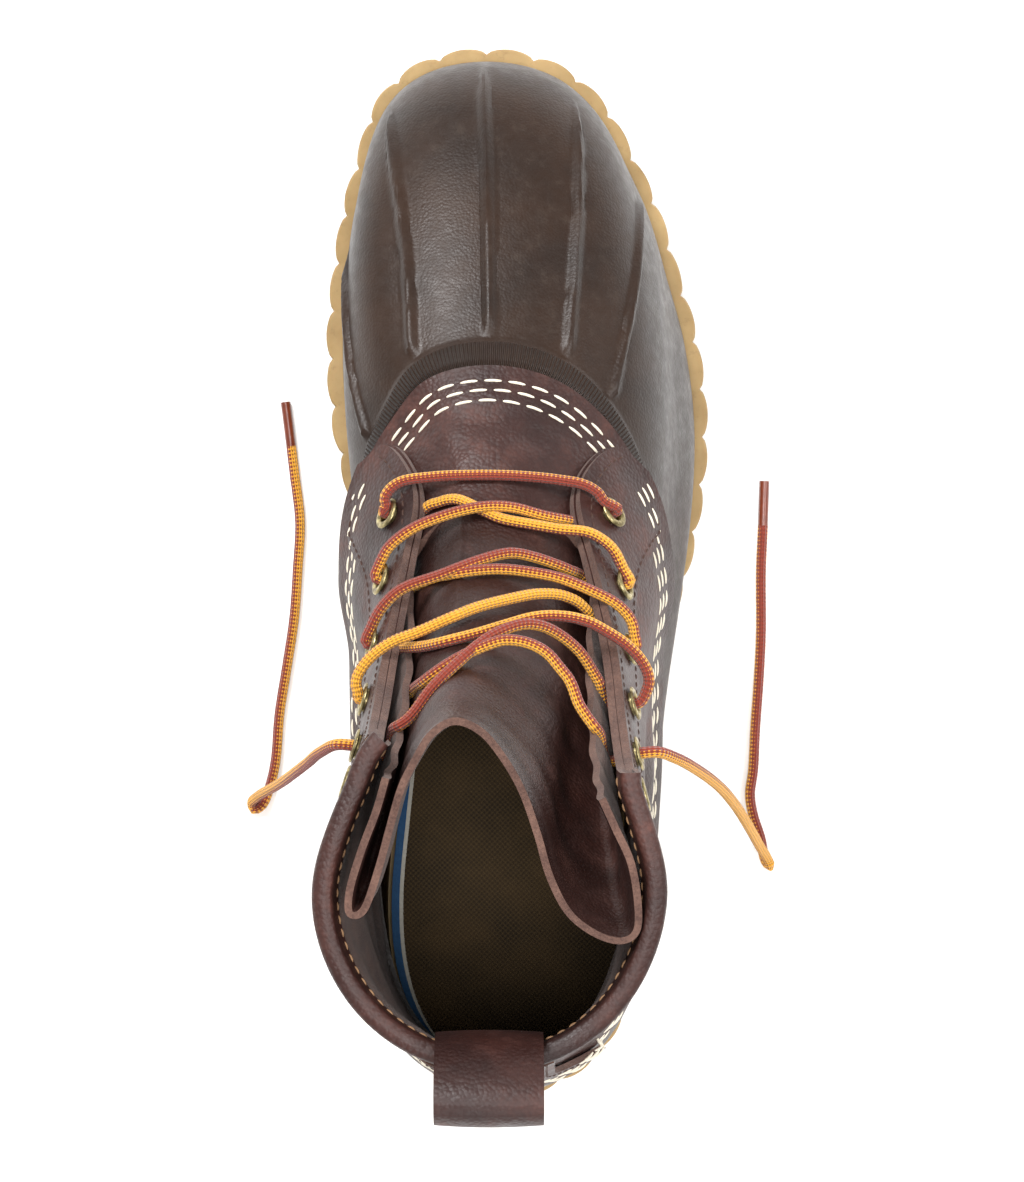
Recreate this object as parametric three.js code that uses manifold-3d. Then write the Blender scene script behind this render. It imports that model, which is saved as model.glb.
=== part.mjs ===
// A right-foot rubber-bottomed lace-up rain boot: a moulded rubber bottom on a gum outsole,
// with a leather shaft, a bellows tongue, eyelets, laces and a pull loop.
// Units are millimetres. +Y points to the toe, +X to the wearer's right (the lateral side), +Z up.
// The origin is on the floor, under the middle of the sole's length and width.
import * as THREE from "three";
import { mergeVertices } from "three/addons/utils/BufferGeometryUtils.js";
import Module from "manifold-3d";

// Outsole
const soleLength = 301;
const ballWidth = 110;
const soleToeRadius = 54;
const soleHeelRadius = 35;
const soleThickness = 6.5;
const treadDepth = 3;
const heelLift = 11;
const heelLength = 76;
const heelBreastSlope = 4;
const toeSpring = 9;
const scallopPitch = 14;
const scallopDepth = 1.8;
const soleMargin = 4.2; // how far the sole stands out past the rubber bottom
const lugPitch = 14;
const lugWidth = 6.5;
const lugWave = 2.2;
const lugMargin = 6; // from a lug's end to the sole's edge

// Rubber bottom
const rubberWall = 2.6;
const rimLength = 192; // rim of the rubber, from the back of the heel to the vamp
const rimWidth = 82;
const rimSetIn = 13; // rim at the heel, forward of the sole's back edge
const rimVampRadius = 44;
const rimHeelRadius = 35;
const vampHeight = 84;
const sideHeight = 60;
const counterHeight = 72;
const ribWidth = 3.4;
const ribHeight = 1.7;
const rimBandWidth = 5;
const rimBandHeight = 0.8;
const flangeWidth = 13; // turned-in foot of the rubber that the sole closes
const ballAngle = 66; // where the ball of the foot lies, in degrees round from the toe
const ballSpan = 24;

// Leather
const leatherWall = 2;
const tongueWall = 1.8;
const facingWall = 1.4;
const facingWidth = 21;
const seamOverlap = 13.2; // leather lying over the rubber
const collarLength = 83;
const collarWidth = 76;
const collarSetIn = 35; // collar at the back, forward of the sole's back edge
const collarRadius = 38.5;
const collarHeight = 204;
const bindingWall = 1.2;
const bindingDepth = 8;
const backstayWall = 1.6;
const backstayWidth = 26;
const backstayFlare = 56;
const loopWidth = 25.5;
const loopWall = 2.1;
const loopRise = 24; // pull loop above the collar
const loopDrop = 32; // pull loop's ends below the collar

// Hardware, laces and insole
const eyeletRadius = 4.4;
const eyeletBore = 2.5;
const eyeletWall = 0.6;
const laceDiameter = 3.2;
const insoleThickness = 4.5;
const gap = 0.3; // clearance between neighbouring pieces
const layerGap = 0.45; // clearance under a layer whose flat facets cross those of the layer below

const wasm = await Module();
wasm.setup();
const up = new THREE.Vector3(0, 0, 1);
const radians = THREE.MathUtils.degToRad;
const smooth = (x, low, high) => THREE.MathUtils.smoothstep(x, low, high);
const mix = THREE.MathUtils.lerp;
const vector = (x, y, z = 0) => new THREE.Vector3(x, y, z);
const signed = (angle) => (angle > Math.PI ? angle - 2 * Math.PI : angle);

// A smooth curve through one column of a table, by the column called at.
function through(rows, column, at) {
  const last = rows.length - 1;
  let i = 0;
  while (i < last - 1 && at > rows[i + 1].at) i++;
  const slope = (k) => {
    const a = rows[Math.max(0, k - 1)];
    const b = rows[Math.min(last, k + 1)];
    return (b[column] - a[column]) / (b.at - a.at);
  };
  const span = rows[i + 1].at - rows[i].at;
  const t = THREE.MathUtils.clamp((at - rows[i].at) / span, 0, 1);
  const s = 1 - t;
  return (
    rows[i][column] * s * s * (1 + 2 * t) +
    rows[i + 1][column] * t * t * (1 + 2 * s) +
    span * (slope(i) * s * s * t - slope(i + 1) * t * t * s)
  );
}

// A closed outline seen from above. Angle 0 is its front, a half turn its back, and positive
// angles are on the lateral side. Its rows give the half widths as shares of its width.
function outline({ length, width, frontRadius, backRadius, back, axisBack, axisFront, rows }) {
  const endFullness = (radius) => Math.sqrt((radius * length) / 2);
  const end = (at, radius) => ({ at, medial: endFullness(radius), lateral: endFullness(radius) });
  const knots = rows.map(({ at, medial, lateral }) => {
    const chord = 2 * Math.sqrt(at * (1 - at));
    return { at, medial: (medial * width) / chord, lateral: (lateral * width) / chord };
  });
  const table = [end(0, backRadius), ...knots, end(1, frontRadius)];
  return (angle) => {
    const at = (1 + Math.cos(angle)) / 2;
    const side = Math.sin(angle) < 0 ? "medial" : "lateral";
    const x = mix(axisBack, axisFront, at) + Math.sin(angle) * through(table, side, at);
    return vector(x, back + at * length);
  };
}

// The outward direction of an outline at an angle, in plan.
function outward(line, angle) {
  const step = 0.01;
  const along = line(angle + step).sub(line(angle - step));
  return vector(-along.y, along.x).normalize();
}

const soleBack = -soleLength / 2;
const soleLine = outline({
  length: soleLength,
  width: ballWidth,
  frontRadius: soleToeRadius,
  backRadius: soleHeelRadius,
  back: soleBack,
  axisBack: -0.033 * ballWidth,
  axisFront: -0.08 * ballWidth,
  rows: [
    { at: 0.03, medial: 0.214, lateral: 0.216 },
    { at: 0.12, medial: 0.344, lateral: 0.355 },
    { at: 0.19, medial: 0.356, lateral: 0.376 },
    { at: 0.27, medial: 0.334, lateral: 0.387 },
    { at: 0.35, medial: 0.311, lateral: 0.409 },
    { at: 0.43, medial: 0.315, lateral: 0.445 },
    { at: 0.515, medial: 0.347, lateral: 0.515 },
    { at: 0.58, medial: 0.388, lateral: 0.55 },
    { at: 0.65, medial: 0.424, lateral: 0.562 },
    { at: 0.73, medial: 0.431, lateral: 0.538 },
    { at: 0.795, medial: 0.412, lateral: 0.49 },
    { at: 0.86, medial: 0.377, lateral: 0.434 },
    { at: 0.91, medial: 0.335, lateral: 0.368 },
    { at: 0.965, medial: 0.26, lateral: 0.266 },
  ],
});
const rimLine = outline({
  length: rimLength,
  width: rimWidth,
  frontRadius: rimVampRadius,
  backRadius: rimHeelRadius,
  back: soleBack + rimSetIn,
  axisBack: -0.05 * rimWidth,
  axisFront: -0.095 * rimWidth,
  rows: [
    { at: 0.12, medial: 0.385, lateral: 0.425 },
    { at: 0.3, medial: 0.455, lateral: 0.505 },
    { at: 0.44, medial: 0.463, lateral: 0.53 },
    { at: 0.58, medial: 0.463, lateral: 0.54 },
    { at: 0.7, medial: 0.457, lateral: 0.546 },
    { at: 0.8, medial: 0.436, lateral: 0.52 },
    { at: 0.88, medial: 0.378, lateral: 0.447 },
    { at: 0.95, medial: 0.272, lateral: 0.318 },
  ],
});
const collarLine = outline({
  length: collarLength,
  width: collarWidth,
  frontRadius: collarRadius * 1.15,
  backRadius: collarRadius,
  back: soleBack + collarSetIn,
  axisBack: -0.09 * collarWidth,
  axisFront: -0.09 * collarWidth,
  rows: [
    { at: 0.2, medial: 0.415, lateral: 0.41 },
    { at: 0.45, medial: 0.505, lateral: 0.505 },
    { at: 0.75, medial: 0.41, lateral: 0.43 },
    { at: 0.9, medial: 0.32, lateral: 0.37 },
  ],
});

// A size that changes smoothly from the front, over the sides, to the back.
const around = (front, side, back, frontPower = 2) => (angle) => {
  const c = Math.cos(angle);
  return c > 0 ? side + (front - side) * c ** frontPower : side + (back - side) * c * c;
};

// A size that is less beside the ball of the foot, where the rubber stands upright.
const tucked = (size, medial, lateral) => (angle) => {
  const turn = THREE.MathUtils.radToDeg(Math.abs(signed(angle)));
  const tuck = Math.sin(angle) < 0 ? medial : lateral;
  return size(angle) - tuck * Math.exp(-(((turn - ballAngle) / ballSpan) ** 2));
};

// The top of the sole and the underside of its body, by the share of the length from the heel.
const heelShare = heelLength / soleLength;
const restThickness = treadDepth + soleThickness;
function soleTop(at) {
  const heel = heelLift * (1 - smooth(at, heelShare * 0.9, 0.6));
  const toe = toeSpring * Math.max(0, (at - 0.72) / 0.28) ** 2;
  return restThickness + heel + toe;
}
function soleUnderside(at) {
  const breast = heelBreastSlope / soleLength;
  const onHeel = 1 - THREE.MathUtils.clamp((at - heelShare) / breast, 0, 1);
  return mix(soleTop(at) - soleThickness, treadDepth, onHeel);
}
const shareOf = (y) => THREE.MathUtils.clamp((y - soleBack) / soleLength, 0, 1);

// The three lines that the upper is drawn over: the feather edge on the sole, the rubber's rim
// and the collar.
function featherPoint(angle) {
  const p = soleLine(angle).addScaledVector(outward(soleLine, angle), -soleMargin);
  return p.setZ(soleTop(shareOf(p.y)) + gap);
}
const rimHeight = around(vampHeight, sideHeight, counterHeight);
const collarLevel = around(collarHeight - 4, collarHeight - 1, collarHeight);
const rimPoint = (angle) => rimLine(angle).setZ(rimHeight(angle));
const collarPoint = (angle) => collarLine(angle).setZ(collarLevel(angle));

// The pull of the surface at those lines: up and outwards from the feather edge, down and
// outwards from the rim, and down and outwards from the collar.
const toeCrest = vampHeight * 0.43;
const featherRise = around(toeCrest, sideHeight * 0.36, counterHeight * 0.3);
const featherSwell = tucked(around(soleLength * 0.01, ballWidth * 0.055, soleLength * 0.018), 6, 3);
const rimFall = around(vampHeight * 0.22, sideHeight * 0.36, counterHeight * 0.3);
const rimSwell = tucked(around(rimLength * 0.23, rimWidth * 0.045, rimLength * 0.02, 3), 8, 3);
const shaftRise = around(vampHeight * 0.17, sideHeight * 0.6, counterHeight * 0.4);
const shaftDraw = around(rimLength * 0.2, rimWidth * 0.12, rimLength * 0.036);
const collarFall = around(collarHeight * 0.27, collarHeight * 0.2, collarHeight * 0.25);
const collarSwell = around(0, collarWidth * -0.09, collarLength * 0.05);

const cubic = (a, b, c, d, t) =>
  vector(0, 0)
    .addScaledVector(a, (1 - t) ** 3)
    .addScaledVector(b, 3 * (1 - t) ** 2 * t)
    .addScaledVector(c, 3 * (1 - t) * t * t)
    .addScaledVector(d, t ** 3);

// The boot's main surface: level 0 is the feather edge, 1 the rubber's rim and 2 the collar.
function surface(angle, level) {
  const rim = rimPoint(angle);
  const rimOut = outward(rimLine, angle);
  if (level <= 1) {
    const feather = featherPoint(angle);
    const fromFeather = feather
      .clone()
      .addScaledVector(outward(soleLine, angle), featherSwell(angle))
      .addScaledVector(up, featherRise(angle));
    const fromRim = rim
      .clone()
      .addScaledVector(rimOut, rimSwell(angle))
      .addScaledVector(up, -rimFall(angle));
    return cubic(feather, fromFeather, fromRim, rim, level);
  }
  const collar = collarPoint(angle);
  const fromRim = rim
    .clone()
    .addScaledVector(rimOut, -shaftDraw(angle))
    .addScaledVector(up, shaftRise(angle));
  const fromCollar = collar
    .clone()
    .addScaledVector(outward(collarLine, angle), collarSwell(angle))
    .addScaledVector(up, -collarFall(angle));
  return cubic(rim, fromRim, fromCollar, collar, level - 1);
}

// A point off the main surface, outwards by a distance.
function offSurface(angle, level, distance) {
  const step = 0.004;
  const side = surface(angle + step, level).sub(surface(angle - step, level));
  const rise = surface(angle, level + step).sub(surface(angle, level - step));
  if (level + step > 1 && level - step < 1) rise.copy(surface(angle, 1).sub(surface(angle, 1 - step)));
  if (level - step < 0) rise.copy(surface(angle, step).sub(surface(angle, 0)));
  const normal = side.cross(rise).normalize();
  return surface(angle, level).addScaledVector(normal, -distance);
}

// Moves along a level of the main surface, away from the toe, by a length on the surface.
function walk(angle, level, length) {
  const side = Math.sign(angle);
  const step = 0.01;
  let gone = 0;
  let a = angle;
  while (gone < length && Math.abs(a) < Math.PI) {
    gone += surface(a, level).distanceTo(surface(a + side * step, level));
    a += side * step;
  }
  return a;
}

// Angles whose points on a curve are evenly spaced from one angle to another.
function spread(pointAt, from, to, count) {
  const fine = 600;
  const angleAt = (i) => mix(from, to, i / fine);
  const walked = [0];
  for (let i = 1; i <= fine; i++)
    walked.push(walked[i - 1] + pointAt(angleAt(i)).distanceTo(pointAt(angleAt(i - 1))));
  const angles = [];
  let i = 0;
  for (let k = 0; k < count; k++) {
    const target = (walked[fine] * k) / (count - 1);
    while (i < fine - 1 && walked[i + 1] < target) i++;
    angles.push(angleAt(i + (target - walked[i]) / (walked[i + 1] - walked[i])));
  }
  return { angles, length: walked[fine] };
}

// A closed solid between two grids of points. Rows run up, columns run round, and a closed grid
// joins its last column to its first.
function sheet(rowCount, columnCount, outer, inner, closed = false) {
  const points = [];
  const faces = [];
  for (const side of [outer, inner])
    for (let row = 0; row < rowCount; row++)
      for (let column = 0; column < columnCount; column++) points.push(side(row, column));
  const innerStart = rowCount * columnCount;
  const at = (row, column) => row * columnCount + (column % columnCount);
  const quad = (a, b, c, d) => faces.push(a, b, c, a, c, d);
  const lastColumn = closed ? columnCount : columnCount - 1;
  for (let column = 0; column < lastColumn; column++) {
    for (let row = 0; row < rowCount - 1; row++) {
      const [a, b] = [at(row, column), at(row, column + 1)];
      const [c, d] = [at(row + 1, column + 1), at(row + 1, column)];
      quad(d, c, b, a);
      quad(innerStart + a, innerStart + b, innerStart + c, innerStart + d);
    }
    const top = rowCount - 1;
    quad(at(0, column), at(0, column + 1), innerStart + at(0, column + 1), innerStart + at(0, column));
    quad(
      at(top, column + 1),
      at(top, column),
      innerStart + at(top, column),
      innerStart + at(top, column + 1),
    );
  }
  if (!closed)
    for (let row = 0; row < rowCount - 1; row++) {
      const end = columnCount - 1;
      quad(at(row + 1, 0), at(row, 0), innerStart + at(row, 0), innerStart + at(row + 1, 0));
      quad(at(row, end), at(row + 1, end), innerStart + at(row + 1, end), innerStart + at(row, end));
    }
  const geometry = new THREE.BufferGeometry().setFromPoints(points);
  geometry.setIndex(faces);
  return geometry;
}

// A tube of a section swept along a path, with flat ends. The section's points are [across, up].
function sweep(path, section, acrossAt) {
  const points = [];
  const faces = [];
  const count = section.length;
  path.forEach((p, i) => {
    const along = path[Math.min(i + 1, path.length - 1)].clone().sub(path[Math.max(i - 1, 0)]);
    along.normalize();
    const across = acrossAt(p, along, i);
    across.addScaledVector(along, -across.dot(along)).normalize();
    const rise = across.clone().cross(along);
    for (const [x, z] of section)
      points.push(p.clone().addScaledVector(across, x).addScaledVector(rise, z));
  });
  for (let i = 0; i < path.length - 1; i++)
    for (let k = 0; k < count; k++) {
      const [a, b] = [i * count + k, i * count + ((k + 1) % count)];
      faces.push(a, b, b + count, a, b + count, a + count);
    }
  const caps = THREE.ShapeUtils.triangulateShape(
    section.map(([x, z]) => new THREE.Vector2(x, z)),
    [],
  );
  const end = (path.length - 1) * count;
  for (const [a, b, c] of caps) faces.push(c, b, a, end + a, end + b, end + c);
  const geometry = new THREE.BufferGeometry().setFromPoints(points);
  geometry.setIndex(faces);
  return geometry;
}

// A three.js geometry as a manifold solid, turned right side out.
function toSolid(geometry) {
  const bare = new THREE.BufferGeometry();
  bare.setAttribute("position", geometry.getAttribute("position"));
  if (geometry.index) bare.setIndex(geometry.index);
  const merged = mergeVertices(bare, 1e-3);
  const make = (triVerts) =>
    new wasm.Manifold(
      new wasm.Mesh({ numProp: 3, vertProperties: merged.attributes.position.array, triVerts }),
    );
  const triVerts = new Uint32Array(merged.index.array);
  const made = make(triVerts);
  if (made.volume() > 0) return made;
  for (let i = 0; i < triVerts.length; i += 3)
    [triVerts[i + 1], triVerts[i + 2]] = [triVerts[i + 2], triVerts[i + 1]];
  return make(triVerts);
}

const boot = new THREE.Group();
const finish = {
  gum: { color: "#c9a368", roughness: 0.62, metalness: 0 },
  rubber: { color: "#4b3f37", roughness: 0.42, metalness: 0 },
  leather: { color: "#5b403b", roughness: 0.55, metalness: 0 },
  brass: { color: "#8f855c", roughness: 0.4, metalness: 1 },
  lace: { color: "#b8601f", roughness: 0.8, metalness: 0 },
  canvas: { color: "#75653f", roughness: 0.9, metalness: 0 },
};

// Adds a solid to the boot as a named mesh.
function add(name, solid, look) {
  const { vertProperties, triVerts, numProp } = solid.getMesh();
  const positions = [];
  for (let i = 0; i < vertProperties.length; i += numProp)
    positions.push(...vertProperties.subarray(i, i + 3));
  const geometry = new THREE.BufferGeometry();
  geometry.setAttribute("position", new THREE.Float32BufferAttribute(positions, 3));
  geometry.setIndex([...triVerts]);
  geometry.computeVertexNormals();
  const mesh = new THREE.Mesh(geometry, new THREE.MeshStandardMaterial(finish[look]));
  mesh.name = name;
  boot.add(mesh);
}

// Outsole: one gum-rubber body with a scalloped edge, an arch, a heel and wavy tread bars.
function scallopedEdge() {
  const pointsPerScallop = 3;
  const { length } = spread(soleLine, 0, 2 * Math.PI, 2);
  const scallops = 2 * Math.round(length / scallopPitch / 2);
  const { angles } = spread(soleLine, 0, 2 * Math.PI, scallops * pointsPerScallop + 1);
  return { angles: angles.slice(0, -1), swell: (k) => (k % pointsPerScallop === 0 ? 0 : 1) };
}

function makeOutsole() {
  const { angles, swell } = scallopedEdge();
  const total = angles.length;
  const points = [];
  const faces = [];
  const ring = (inset, heightAt, scalloped) => {
    const start = points.length;
    angles.forEach((angle, k) => {
      const bulge = scalloped ? scallopDepth * (swell(k) - 0.6) : -scallopDepth / 2;
      const p = soleLine(angle).addScaledVector(outward(soleLine, angle), bulge - inset);
      points.push(p.setZ(heightAt(shareOf(p.y))));
    });
    return start;
  };
  const bevel = 1;
  const rings = [
    ring(0, soleUnderside, true),
    ring(0, (at) => soleTop(at) - bevel, true),
    ring(bevel, soleTop, true),
  ];
  for (let r = 0; r < rings.length - 1; r++)
    for (let k = 0; k < total; k++) {
      const next = (k + 1) % total;
      const [a, b, c, d] = [rings[r] + k, rings[r] + next, rings[r + 1] + next, rings[r + 1] + k];
      faces.push(a, c, b, a, d, c);
    }
  // Each cap runs straight across the sole, from each lateral point to its medial partner.
  const cap = (start, turned) => {
    for (let k = 0; k < total / 2; k++) {
      const [a, b] = [start + k, start + k + 1];
      const [c, d] = [start + ((total - k - 1) % total), start + ((total - k) % total)];
      const triangles = k === 0 ? [[a, b, c]] : b === c ? [[a, b, d]] : [[a, b, c], [a, c, d]];
      for (const [p, q, r] of triangles) faces.push(...(turned ? [p, r, q] : [p, q, r]));
    }
  };
  cap(rings[0], false);
  cap(rings[rings.length - 1], true);
  const geometry = new THREE.BufferGeometry().setFromPoints(points);
  geometry.setIndex(faces);
  let solid = toSolid(geometry);
  for (const bar of treadBars()) solid = solid.add(bar);
  return solid;
}

// The share of the length where a tread bar sits flat, and how far the sole reaches across there.
function acrossAt(y) {
  const angle = Math.acos(THREE.MathUtils.clamp(2 * shareOf(y) - 1, -1, 1));
  return [soleLine(-angle).x, soleLine(angle).x];
}

function treadBars() {
  const bars = [];
  const count = Math.floor(soleLength / lugPitch);
  const waves = 4;
  for (let i = 0; i < count; i++) {
    const y = soleBack + lugPitch * (i + 0.62);
    const at = shareOf(y);
    const onHeel = at < heelShare - (0.6 * lugWidth) / soleLength;
    const onForefoot = at > 0.5 && at < 1 - (0.8 * lugWidth) / soleLength;
    if (!onHeel && !onForefoot) continue;
    const [medial, lateral] = acrossAt(y + (at < 0.5 ? -lugWidth / 2 : lugWidth / 2));
    const [left, right] = [medial + lugMargin, lateral - lugMargin];
    const edge = (k, side) => {
      const x = mix(left, right, k / waves);
      return [x, y + side * lugWidth * 0.5 + lugWave * (k % 2 ? 1 : -1)];
    };
    const shape = new THREE.Shape().moveTo(...edge(0, -1));
    for (let k = 1; k <= waves; k++) shape.lineTo(...edge(k, -1));
    for (let k = waves; k >= 0; k--) shape.lineTo(...edge(k, 1));
    const sink = 0.6; // how far a bar is sunk into the body above it
    const bar = new THREE.ExtrudeGeometry(shape, { depth: treadDepth + sink, bevelEnabled: false });
    const rise = onHeel ? 0 : soleUnderside(at) - treadDepth;
    const flat = rise < 0.3;
    const lift = flat ? 0 : rise;
    const span = 0.02;
    const tilt = soleUnderside(at + span / 2) - soleUnderside(at - span / 2);
    const slope = flat ? 0 : tilt / (span * soleLength);
    bar.applyMatrix4(new THREE.Matrix4().makeShear(0, 0, 0, slope, 0, 0));
    bar.translate(0, 0, lift - slope * y);
    bars.push(toSolid(bar));
  }
  return bars;
}
add("outsole", makeOutsole(), "gum");

// The rubber bottom: a closed ring from its turned-in foot up to its edge under the leather.
// Each rib follows a line from the toe's edge to the rim, given by its angle at both.
const ribs = [
  { feather: -50, rim: -38, from: 0.1 },
  { feather: -17, rim: -18, from: 0.34 },
  { feather: 0, rim: 0, from: 0.12 },
  { feather: 16, rim: 18, from: 0.34 },
  { feather: 44, rim: 31, from: 0.2 },
];
// The columns round the sides and the heel, shared by the rubber, the quarters and the binding.
const heelFrom = 80;
const heelColumns = (() => {
  const { angles } = spread((a) => surface(a, 1), radians(heelFrom), radians(360 - heelFrom), 19);
  return angles.map((angle) => THREE.MathUtils.radToDeg(angle));
})();
const bandLevel = 1 - rimBandWidth / 85;
const rubberTop = 1 + seamOverlap / 132;

function ribbedColumns() {
  const half = (angle) => (ribWidth / 2 / 46) * (1 - 0.25 * Math.abs(Math.sin(angle)));
  const columns = [];
  for (const rib of ribs) {
    const [feather, rim] = [radians(rib.feather), radians(rib.rim)];
    const near = half(feather);
    const far = half(rim) * 1.15;
    for (const [side, ridge] of [[-1.5, 0], [-0.55, 1], [0.55, 1], [1.5, 0]])
      columns.push({ feather: feather + side * near, rim: rim + side * far, ridge, from: rib.from });
  }
  const plain = (angle) => columns.push({ feather: radians(angle), rim: radians(angle), ridge: 0, from: 0 });
  for (const angle of [-8.5, 8.5, -26, -33]) plain(angle);
  columns.push({ feather: radians(30), rim: radians(24.5), ridge: 0, from: 0 });
  for (const angle of [56, 68, ...heelColumns, 292, 302]) plain(angle > 180 ? angle - 360 : angle);
  const turn = (angle) => (angle + 2 * Math.PI) % (2 * Math.PI);
  return columns.sort((a, b) => turn(a.feather) - turn(b.feather));
}

function makeRubber() {
  const columns = ribbedColumns();
  const rows = [
    { level: 0, foot: 1 },
    { level: 0 },
    { level: 0.12 },
    { level: 0.26 },
    { level: 0.42 },
    { level: 0.6 },
    { level: 0.78 },
    { level: bandLevel - 0.012 },
    { level: bandLevel, band: 1 },
    { level: 0.992, band: 1 },
    { level: 1 },
    { level: 1.05 },
    { level: rubberTop },
  ];
  const angleAt = ({ feather, rim }, level) => mix(feather, rim, Math.min(level, 1));
  const outer = (row, k) => {
    const { level, foot, band } = rows[row];
    const column = columns[k];
    const angle = angleAt(column, level);
    if (foot || level === 0) {
      const inset = foot ? flangeWidth : 0;
      const p = surface(angle, 0).addScaledVector(outward(soleLine, angle), -inset);
      return p.setZ(soleTop(shareOf(p.y)) + gap);
    }
    const open = smooth(level, column.from, column.from + 0.15) * (level < bandLevel - 0.02 ? 1 : 0);
    const raised = column.ridge * ribHeight * open + (band ? rimBandHeight : 0);
    return offSurface(angle, level, raised);
  };
  const inner = (row, k) => {
    const { level, foot } = rows[row];
    const angle = angleAt(columns[k], level);
    if (foot || level === 0) {
      const inset = foot ? flangeWidth : rubberWall;
      const p = surface(angle, 0).addScaledVector(outward(soleLine, angle), -inset);
      return p.setZ(soleTop(shareOf(p.y)) + gap + rubberWall);
    }
    return offSurface(angle, level, -rubberWall);
  };
  return toSolid(sheet(rows.length, columns.length, outer, inner, true));
}
add("rubber_bottom", makeRubber(), "rubber");

// The leather. The quarters' front edges run back up the shaft: their angle, in degrees, by level.
const quarterEdge = [
  { at: 1, medial: 43, lateral: 45 },
  { at: 1.05, medial: 36.5, lateral: 37.5 },
  { at: 1.15, medial: 34.5, lateral: 33.5 },
  { at: 1.26, medial: 35.5, lateral: 33 },
  { at: 1.37, medial: 42.5, lateral: 40 },
  { at: 1.49, medial: 48.5, lateral: 48 },
  { at: 1.6, medial: 52, lateral: 56 },
  { at: 1.75, medial: 50, lateral: 60 },
  { at: 1.88, medial: 43, lateral: 57 },
  { at: 2, medial: 38, lateral: 52 },
];
const edgeAngle = (side, level) => {
  const name = side < 0 ? "medial" : "lateral";
  return side * radians(through(quarterEdge, name, level));
};
const vampWing = 58; // angle where the vamp ends under the quarters
const vampStand = (level) => layerGap - (leatherWall + layerGap + 0.5) * smooth(level, 1.15, 1.3);
function quarterStand(angle, level) {
  const overVamp = 1 - smooth(Math.abs(angle), radians(vampWing + 8), radians(vampWing + 22));
  return gap + (leatherWall + 0.95) * overVamp * (1 - smooth(level, 1.14, 1.34));
}

const quarterLevels = [1, 1.05, 1.1, 1.15, 1.2, 1.26, 1.32, 1.43, 1.55, 1.68, 1.81, 1.93, 2];
const frontShares = [0, 0.15, 0.32, 0.52, 0.75];
const quarterColumns = heelColumns.length + 2 * frontShares.length;
function quarterAngle(k, level) {
  const [first, last] = [frontShares.length, quarterColumns - 1 - frontShares.length];
  if (k < first) return mix(edgeAngle(1, level), radians(heelFrom), frontShares[k]);
  if (k > last) return mix(edgeAngle(-1, level), radians(-heelFrom), frontShares[quarterColumns - 1 - k]);
  return signed(radians(heelColumns[k - first]));
}

// The eyelets, from the lowest: their level, and their angle in degrees on each side.
const eyeletRows = [
  { level: 1.24, medial: 45, lateral: 44 },
  { level: 1.345, medial: 53.5, lateral: 54.5 },
  { level: 1.45, medial: 60.5, lateral: 61.5 },
  { level: 1.55, medial: 65.5, lateral: 66.5 },
  { level: 1.67, medial: 67.5, lateral: 69.5 },
  { level: 1.8, medial: 68, lateral: 71.5 },
];
const facingEase = 0.3; // more clearance, because the facings cross the shaft's saddle
const facingStand = (angle, level) => quarterStand(angle, level) + leatherWall + layerGap + facingEase;

function frameAt(angle, level, distance) {
  const out = offSurface(angle, level, distance + 1).sub(offSurface(angle, level, distance));
  const turn = new THREE.Quaternion().setFromUnitVectors(up, out.normalize());
  return new THREE.Matrix4().compose(offSurface(angle, level, distance), turn, vector(1, 1, 1));
}
const sides = [
  { name: "medial", sign: -1 },
  { name: "lateral", sign: 1 },
];
const eyelets = sides.flatMap(({ name, sign }) =>
  eyeletRows.map((row, i) => {
    const angle = sign * radians(row[name]);
    return { name: `eyelet_${name}_${i + 1}`, angle, level: row.level, sign };
  }),
);
function punch(solid, holes) {
  let result = solid;
  for (const { angle, level } of holes) {
    const pin = new THREE.CylinderGeometry(1, 1, 16, 6);
    pin.rotateX(Math.PI / 2);
    const radius = (eyeletBore + eyeletWall + gap) / Math.cos(Math.PI / 6);
    pin.scale(radius, radius, 1);
    pin.applyMatrix4(frameAt(angle, level, quarterStand(angle, level)));
    result = result.subtract(toSolid(pin));
  }
  return result;
}

function makeQuarters() {
  const face = (extra) => (row, k) => {
    const level = quarterLevels[row];
    const angle = quarterAngle(k, level);
    return offSurface(angle, level, quarterStand(angle, level) + extra);
  };
  const sheeted = sheet(quarterLevels.length, quarterColumns, face(leatherWall), face(0));
  return punch(toSolid(sheeted), eyelets);
}
add("upper", makeQuarters(), "leather");

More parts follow.
